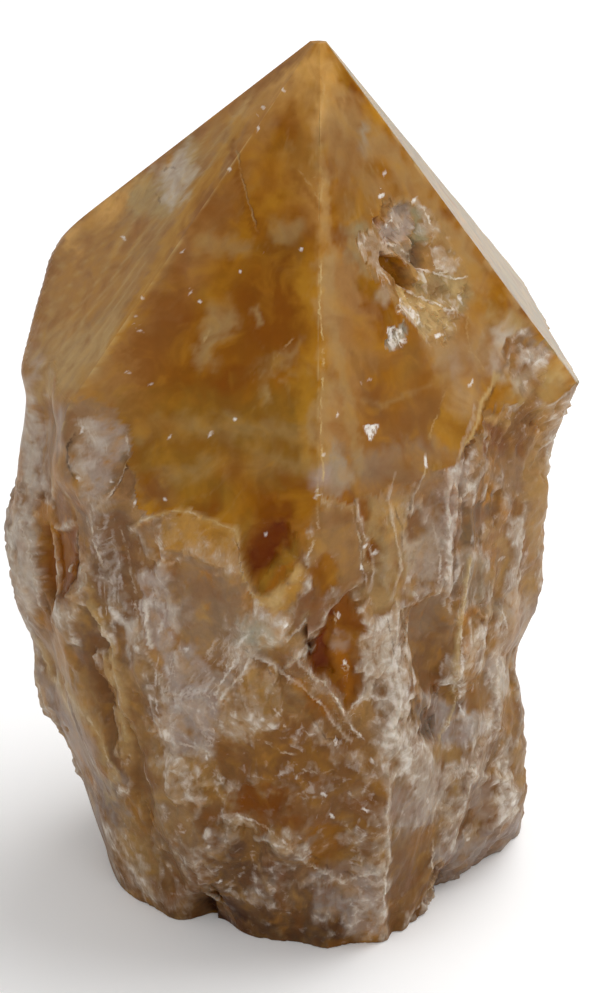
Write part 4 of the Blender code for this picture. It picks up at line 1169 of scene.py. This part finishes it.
class Nodes:
    """Short calls for building a node material. Most give their node's output socket."""

    def __init__(self, name):
        self.material = bpy.data.materials.new(name)
        self.material.use_nodes = True
        self.tree = self.material.node_tree
        self.tree.nodes.clear()

    def add(self, kind, inputs=None, **settings):
        """A node, with values or links on its inputs."""
        node = self.tree.nodes.new("ShaderNode" + kind)
        for key, value in settings.items():
            setattr(node, key, value)
        for key, value in (inputs or {}).items():
            socket = node.inputs[key]
            if hasattr(value, "is_output"):
                self.tree.links.new(value, socket)
            else:
                socket.default_value = value
        return node

    def read(self, name, output="Fac"):
        return self.add("Attribute", attribute_name=name).outputs[output]

    def maths(self, operation, first, second=0.0):
        return self.add("Math", {0: first, 1: second}, operation=operation).outputs[0]

    def plus(self, first, second):
        return self.maths("ADD", first, second)

    def times(self, first, second):
        return self.maths("MULTIPLY", first, second)

    def vector(self, operation, first, second):
        key = "Scale" if operation == "SCALE" else 1
        return self.add("VectorMath", {0: first, key: second}, operation=operation).outputs[0]

    def ramp(self, value, low, high, start=0.0, end=1.0):
        """value from low to high becomes start to end, and stays there beyond."""
        inputs = {"Value": value, "From Min": low, "From Max": high, "To Min": start, "To Max": end}
        return self.add("MapRange", inputs, clamp=True).outputs[0]

    def blend(self, amount, first, second):
        """The first colour with this much of the second. A name stands for one of the stone's colours."""
        first, second = ((*COLOURS[end], 1) if isinstance(end, str) else end for end in (first, second))
        node = self.add("Mix", {"Factor": amount, "A": first, "B": second}, data_type="RGBA")
        return node.outputs["Result"]

    def scaled(self, where, size_mm, stretch=(1, 1, 1)):
        return self.vector("MULTIPLY", where, [share / (size_mm * MM) for share in stretch])

    def colours(self, where, size_mm):
        return self.add("TexNoise", {"Vector": self.scaled(where, size_mm), "Scale": 1.0}).outputs["Color"]

    def flakes(self, where, bend, size_mm):
        """A random number from 0 to 1 for each flake."""
        place = self.vector("ADD", self.scaled(where, size_mm), self.vector("SCALE", bend, 0.9))
        cells = self.add("TexVoronoi", {"Vector": place, "Scale": 1.0})
        return self.add("SeparateColor", {0: cells.outputs["Color"]}).outputs[0]

    def noise(self, where, size_mm, detail=3.0, roughness=0.6, stretch=(1, 1, 1), distortion=0.0):
        inputs = {"Vector": self.scaled(where, size_mm, stretch), "Scale": 1.0, "Detail": detail,
                  "Roughness": roughness, "Distortion": distortion}
        return self.add("TexNoise", inputs).outputs["Fac"]

    def finished(self, shader):
        """The material, with this shader node on its surface."""
        out = self.add("OutputMaterial")
        self.tree.links.new(shader.outputs[0], out.inputs["Surface"])
        return self.material


def drawn_line(m, frayed, worn, name, width, gaps=0.05):
    """1 on the thin lines that the points' signed distances describe, and 0 away from them."""
    away = m.maths("ABSOLUTE", m.plus(m.read(name), frayed))
    shape = m.ramp(away, 0.3 * width, width, 1.0, 0.0)
    return m.times(m.times(shape, m.read(name + "_strength")), m.ramp(worn, 0.42, 0.62, gaps, 1.0))


def stone_tint(m, where, polish, broken, flake, small_flake):
    """The points' own colour, lighter and darker by grain and flake, with milky and smoky wisps."""
    coarse = m.noise(where, 2.4, 4.0, distortion=0.6)
    grains = m.noise(where, 0.5, 3.0, 0.65, distortion=0.4)
    wisps = m.noise(where, 5.2, 4.0, 0.45, distortion=1.6)
    lit = m.plus(m.ramp(coarse, 0.3, 0.7, -0.16, 0.16), m.ramp(grains, 0.3, 0.7, -0.08, 0.08))
    chipped = m.plus(m.ramp(flake, 0, 1, -0.07, 0.07), m.ramp(small_flake, 0, 1, -0.06, 0.06))
    lit = m.plus(lit, m.times(chipped, broken))
    value = m.plus(1.0, m.times(lit, m.ramp(broken, 0, 1, 0.35, 1.0)))
    tinted = m.add("HueSaturation", {"Color": m.read("stone_colour", "Color"), "Value": value}).outputs[0]
    milky = m.times(m.ramp(wisps, 0.5, 0.8), m.ramp(polish, 0, 1, 0.3, 0.4))
    smoky = m.times(m.ramp(wisps, 0.5, 0.2), m.ramp(polish, 0, 1, 0.4, 0.45))
    return m.blend(smoky, m.blend(milky, tinted, "gold"), "deep")


def crusted_tint(m, where, bend, broken, tinted, flake, small_flake):
    """(colour, milk): the colour with crust, white streaks and brown painted shade in the fine hollows, and
    how much is crust.
    """
    crust, fibrous = m.read("crust"), m.read("fibrous")
    bent = m.vector("ADD", m.vector("SCALE", bend, 3.5 * MM), m.read("upright", "Vector"))
    fibres = m.noise(bent, 0.45, 4.0, stretch=(1, 1, 0.18), distortion=0.5)
    patches = m.noise(where, 1.4, 4.0, 0.5, distortion=0.5)
    share = m.ramp(fibrous, 0, 1, 0.1, 0.6)
    pattern = m.add("Mix", {"Factor": share, "A": patches, "B": fibres}).outputs["Result"]
    sorts = m.plus(m.ramp(flake, 0, 1, -0.08, 0.08), m.ramp(small_flake, 0, 1, -0.04, 0.04))
    pattern = m.plus(pattern, m.times(sorts, m.ramp(fibrous, 0, 1, 1.0, 0.3)))
    milk = m.times(crust, m.ramp(pattern, 0.3, 0.68, 0.4, 1.1))
    milk = m.ramp(milk, 0.1, 0.9, 0.0, 0.85)
    tinted = m.blend(milk, tinted, "crust")
    streaks = m.ramp(m.plus(pattern, m.times(crust, 0.18)), 0.62, 0.86, 0.0, 0.42)
    tinted = m.blend(m.times(streaks, m.ramp(broken, 0.2, 0.7)), tinted, "white")
    # Painted shade: brown where the pattern dips.
    shade = m.times(m.ramp(pattern, 0.42, 0.28), m.ramp(broken, 0.1, 0.8, 0.0, 0.4))
    return m.blend(shade, tinted, "brown"), milk


def lined_tint(m, where, polish, tinted):
    """The colour with the thin dark and bright lines and the flecks drawn on it."""
    frayed = m.ramp(m.noise(where, 0.5), 0.3, 0.7, -1.1, 1.1)
    worn = m.noise(where, 1.5)
    tinted = m.blend(drawn_line(m, frayed, worn, "dark", 1.6), tinted, "dark")
    line_colour = m.blend(polish, "white", "cream")
    for name in ("ridge", "bright"):
        tinted = m.blend(m.times(drawn_line(m, frayed, worn, name, 1.5), 0.85), tinted, line_colour)
    # The flecks are partly painted glints.
    return m.blend(drawn_line(m, frayed, worn, "fleck", 2.2, gaps=0.6), tinted, "white")


def calcite_material():
    """Calcite with what is too fine for the mesh: crust, fibres, thin lines, wisps and grain."""
    m = Nodes("calcite")
    where = m.add("TexCoord").outputs["Object"]
    polish = m.read("polish")
    broken = m.maths("SUBTRACT", 1.0, polish)
    bend = m.vector("SUBTRACT", m.colours(where, 4.0), (0.5, 0.5, 0.5))
    flakes = [m.flakes(where, bend, size) for size in (1.9, 0.8)]
    tinted = stone_tint(m, where, polish, broken, *flakes)
    tinted, milk = crusted_tint(m, where, bend, broken, tinted, *flakes)
    tinted = lined_tint(m, where, polish, tinted)

    grain = m.times(m.noise(where, 0.9, roughness=0.65), m.ramp(broken, 0, 1, 0.02, 0.7))
    facets = m.times(m.plus(*flakes), m.ramp(broken, 0.2, 1, 0.0, 0.22))
    relief = {"Strength": 0.5, "Distance": 0.4 * MM, "Height": m.plus(grain, facets)}
    roughness = m.plus(m.ramp(broken, 0, 1, 0.26, 0.4), m.times(milk, 0.2))
    shader = m.add("BsdfPrincipled", {
        "Base Color": tinted, "Roughness": roughness, "Normal": m.add("Bump", relief).outputs[0],
        "IOR": 1.5, "Specular IOR Level": 0.06,
        "Subsurface Weight": 0.25, "Subsurface Radius": (1.0, 0.42, 0.14), "Subsurface Scale": 2.5 * MM,
    })
    shader.subsurface_method = "BURLEY"
    return m.finished(shader)


# Studio -------------------------------------------------------------------------------------------

# PAPER_GLOW is painted light: the floor's own glow, which lifts its shadows.
PAPER_WHITE, PAPER_GLOW, FLOOR_REACH = 0.92, 0.06, 3.0  # the floor reaches this many metres each way
STONE_MIDDLE = (0, 0, 0.055)  # metres
LIGHTS = (
    # name, place in metres, size, watts
    ("key", (0.45, 0.3, 0.85), 1.1, 9.0),
    ("fill", (-0.7, -0.5, 0.6), 0.9, 1.2),
    ("front", (0.3, -0.9, 0.5), 0.8, 1.8),
)
SKY_STRENGTH = 0.5


def placed(name, data):
    """A new object in the scene."""
    thing = bpy.data.objects.new(name, data)
    bpy.context.scene.collection.objects.link(thing)
    return thing


def pointed(thing, place, way):
    """Puts a camera or a lamp at a place, looking this way."""
    thing.location = place
    thing.rotation_euler = way.to_track_quat("-Z", "Y").to_euler()


def photo_camera(tip):
    camera = bpy.data.cameras.new("photo_camera")
    camera.sensor_width = SENSOR_MM
    camera.lens = FOCAL_PIXELS * SENSOR_MM / max(PHOTO_SIZE)
    camera.clip_start, camera.clip_end = 0.01, 20
    holder = placed("photo_camera", camera)
    target = Vector([tip[0] + VIEW_TARGET[0], tip[1] + VIEW_TARGET[1], VIEW_TARGET[2]]) * MM
    forward = Vector(camera_axes()[0])
    pointed(holder, target - VIEW_DISTANCE * MM * forward, forward)
    bpy.context.scene.camera = holder


def paper_floor():
    """A pale floor that glows a little, as painted light that lifts its shadows."""
    m = Nodes("paper")
    paper = m.add("BsdfPrincipled", {
        "Base Color": (PAPER_WHITE, PAPER_WHITE, PAPER_WHITE, 1), "Roughness": 0.9,
        "Emission Color": (1, 1, 1, 1), "Emission Strength": PAPER_GLOW,
    })
    mesh = bpy.data.meshes.new("floor")
    signs = ((-1, -1), (1, -1), (1, 1), (-1, 1))
    mesh.from_pydata([(x * FLOOR_REACH, y * FLOOR_REACH, 0) for x, y in signs], [], [(0, 1, 2, 3)])
    mesh.materials.append(m.finished(paper))
    floor = placed("floor", mesh)


def studio_light():
    """Soft lamps on the right, the left and in front, under a white sky."""
    for name, place, size, watts in LIGHTS:
        light = bpy.data.lights.new(name, "AREA")
        light.shape, light.size, light.energy = "DISK", size, watts
        pointed(placed(name, light), place, Vector(STONE_MIDDLE) - Vector(place))

    world = bpy.data.worlds.new("studio")
    world.use_nodes = True
    sky = world.node_tree.nodes["Background"].inputs
    sky["Color"].default_value = (1, 1, 1, 1)
    sky["Strength"].default_value = SKY_STRENGTH
    bpy.context.scene.world = world
    bpy.context.scene.view_settings.view_transform = "Standard"


# The scene ----------------------------------------------------------------------------------------

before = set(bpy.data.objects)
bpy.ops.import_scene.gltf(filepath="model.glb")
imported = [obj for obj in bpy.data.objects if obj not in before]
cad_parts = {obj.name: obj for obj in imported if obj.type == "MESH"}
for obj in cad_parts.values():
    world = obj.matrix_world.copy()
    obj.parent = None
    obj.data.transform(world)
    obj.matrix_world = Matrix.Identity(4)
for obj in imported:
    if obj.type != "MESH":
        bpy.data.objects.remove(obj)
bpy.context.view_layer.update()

stone_skin, tip = stone_mesh()
stone = placed("calcite_stone", stone_skin)
stone.data.materials.append(calcite_material())
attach(stone, "root")
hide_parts("calcite_point")
photo_camera(tip)
paper_floor()
studio_light()
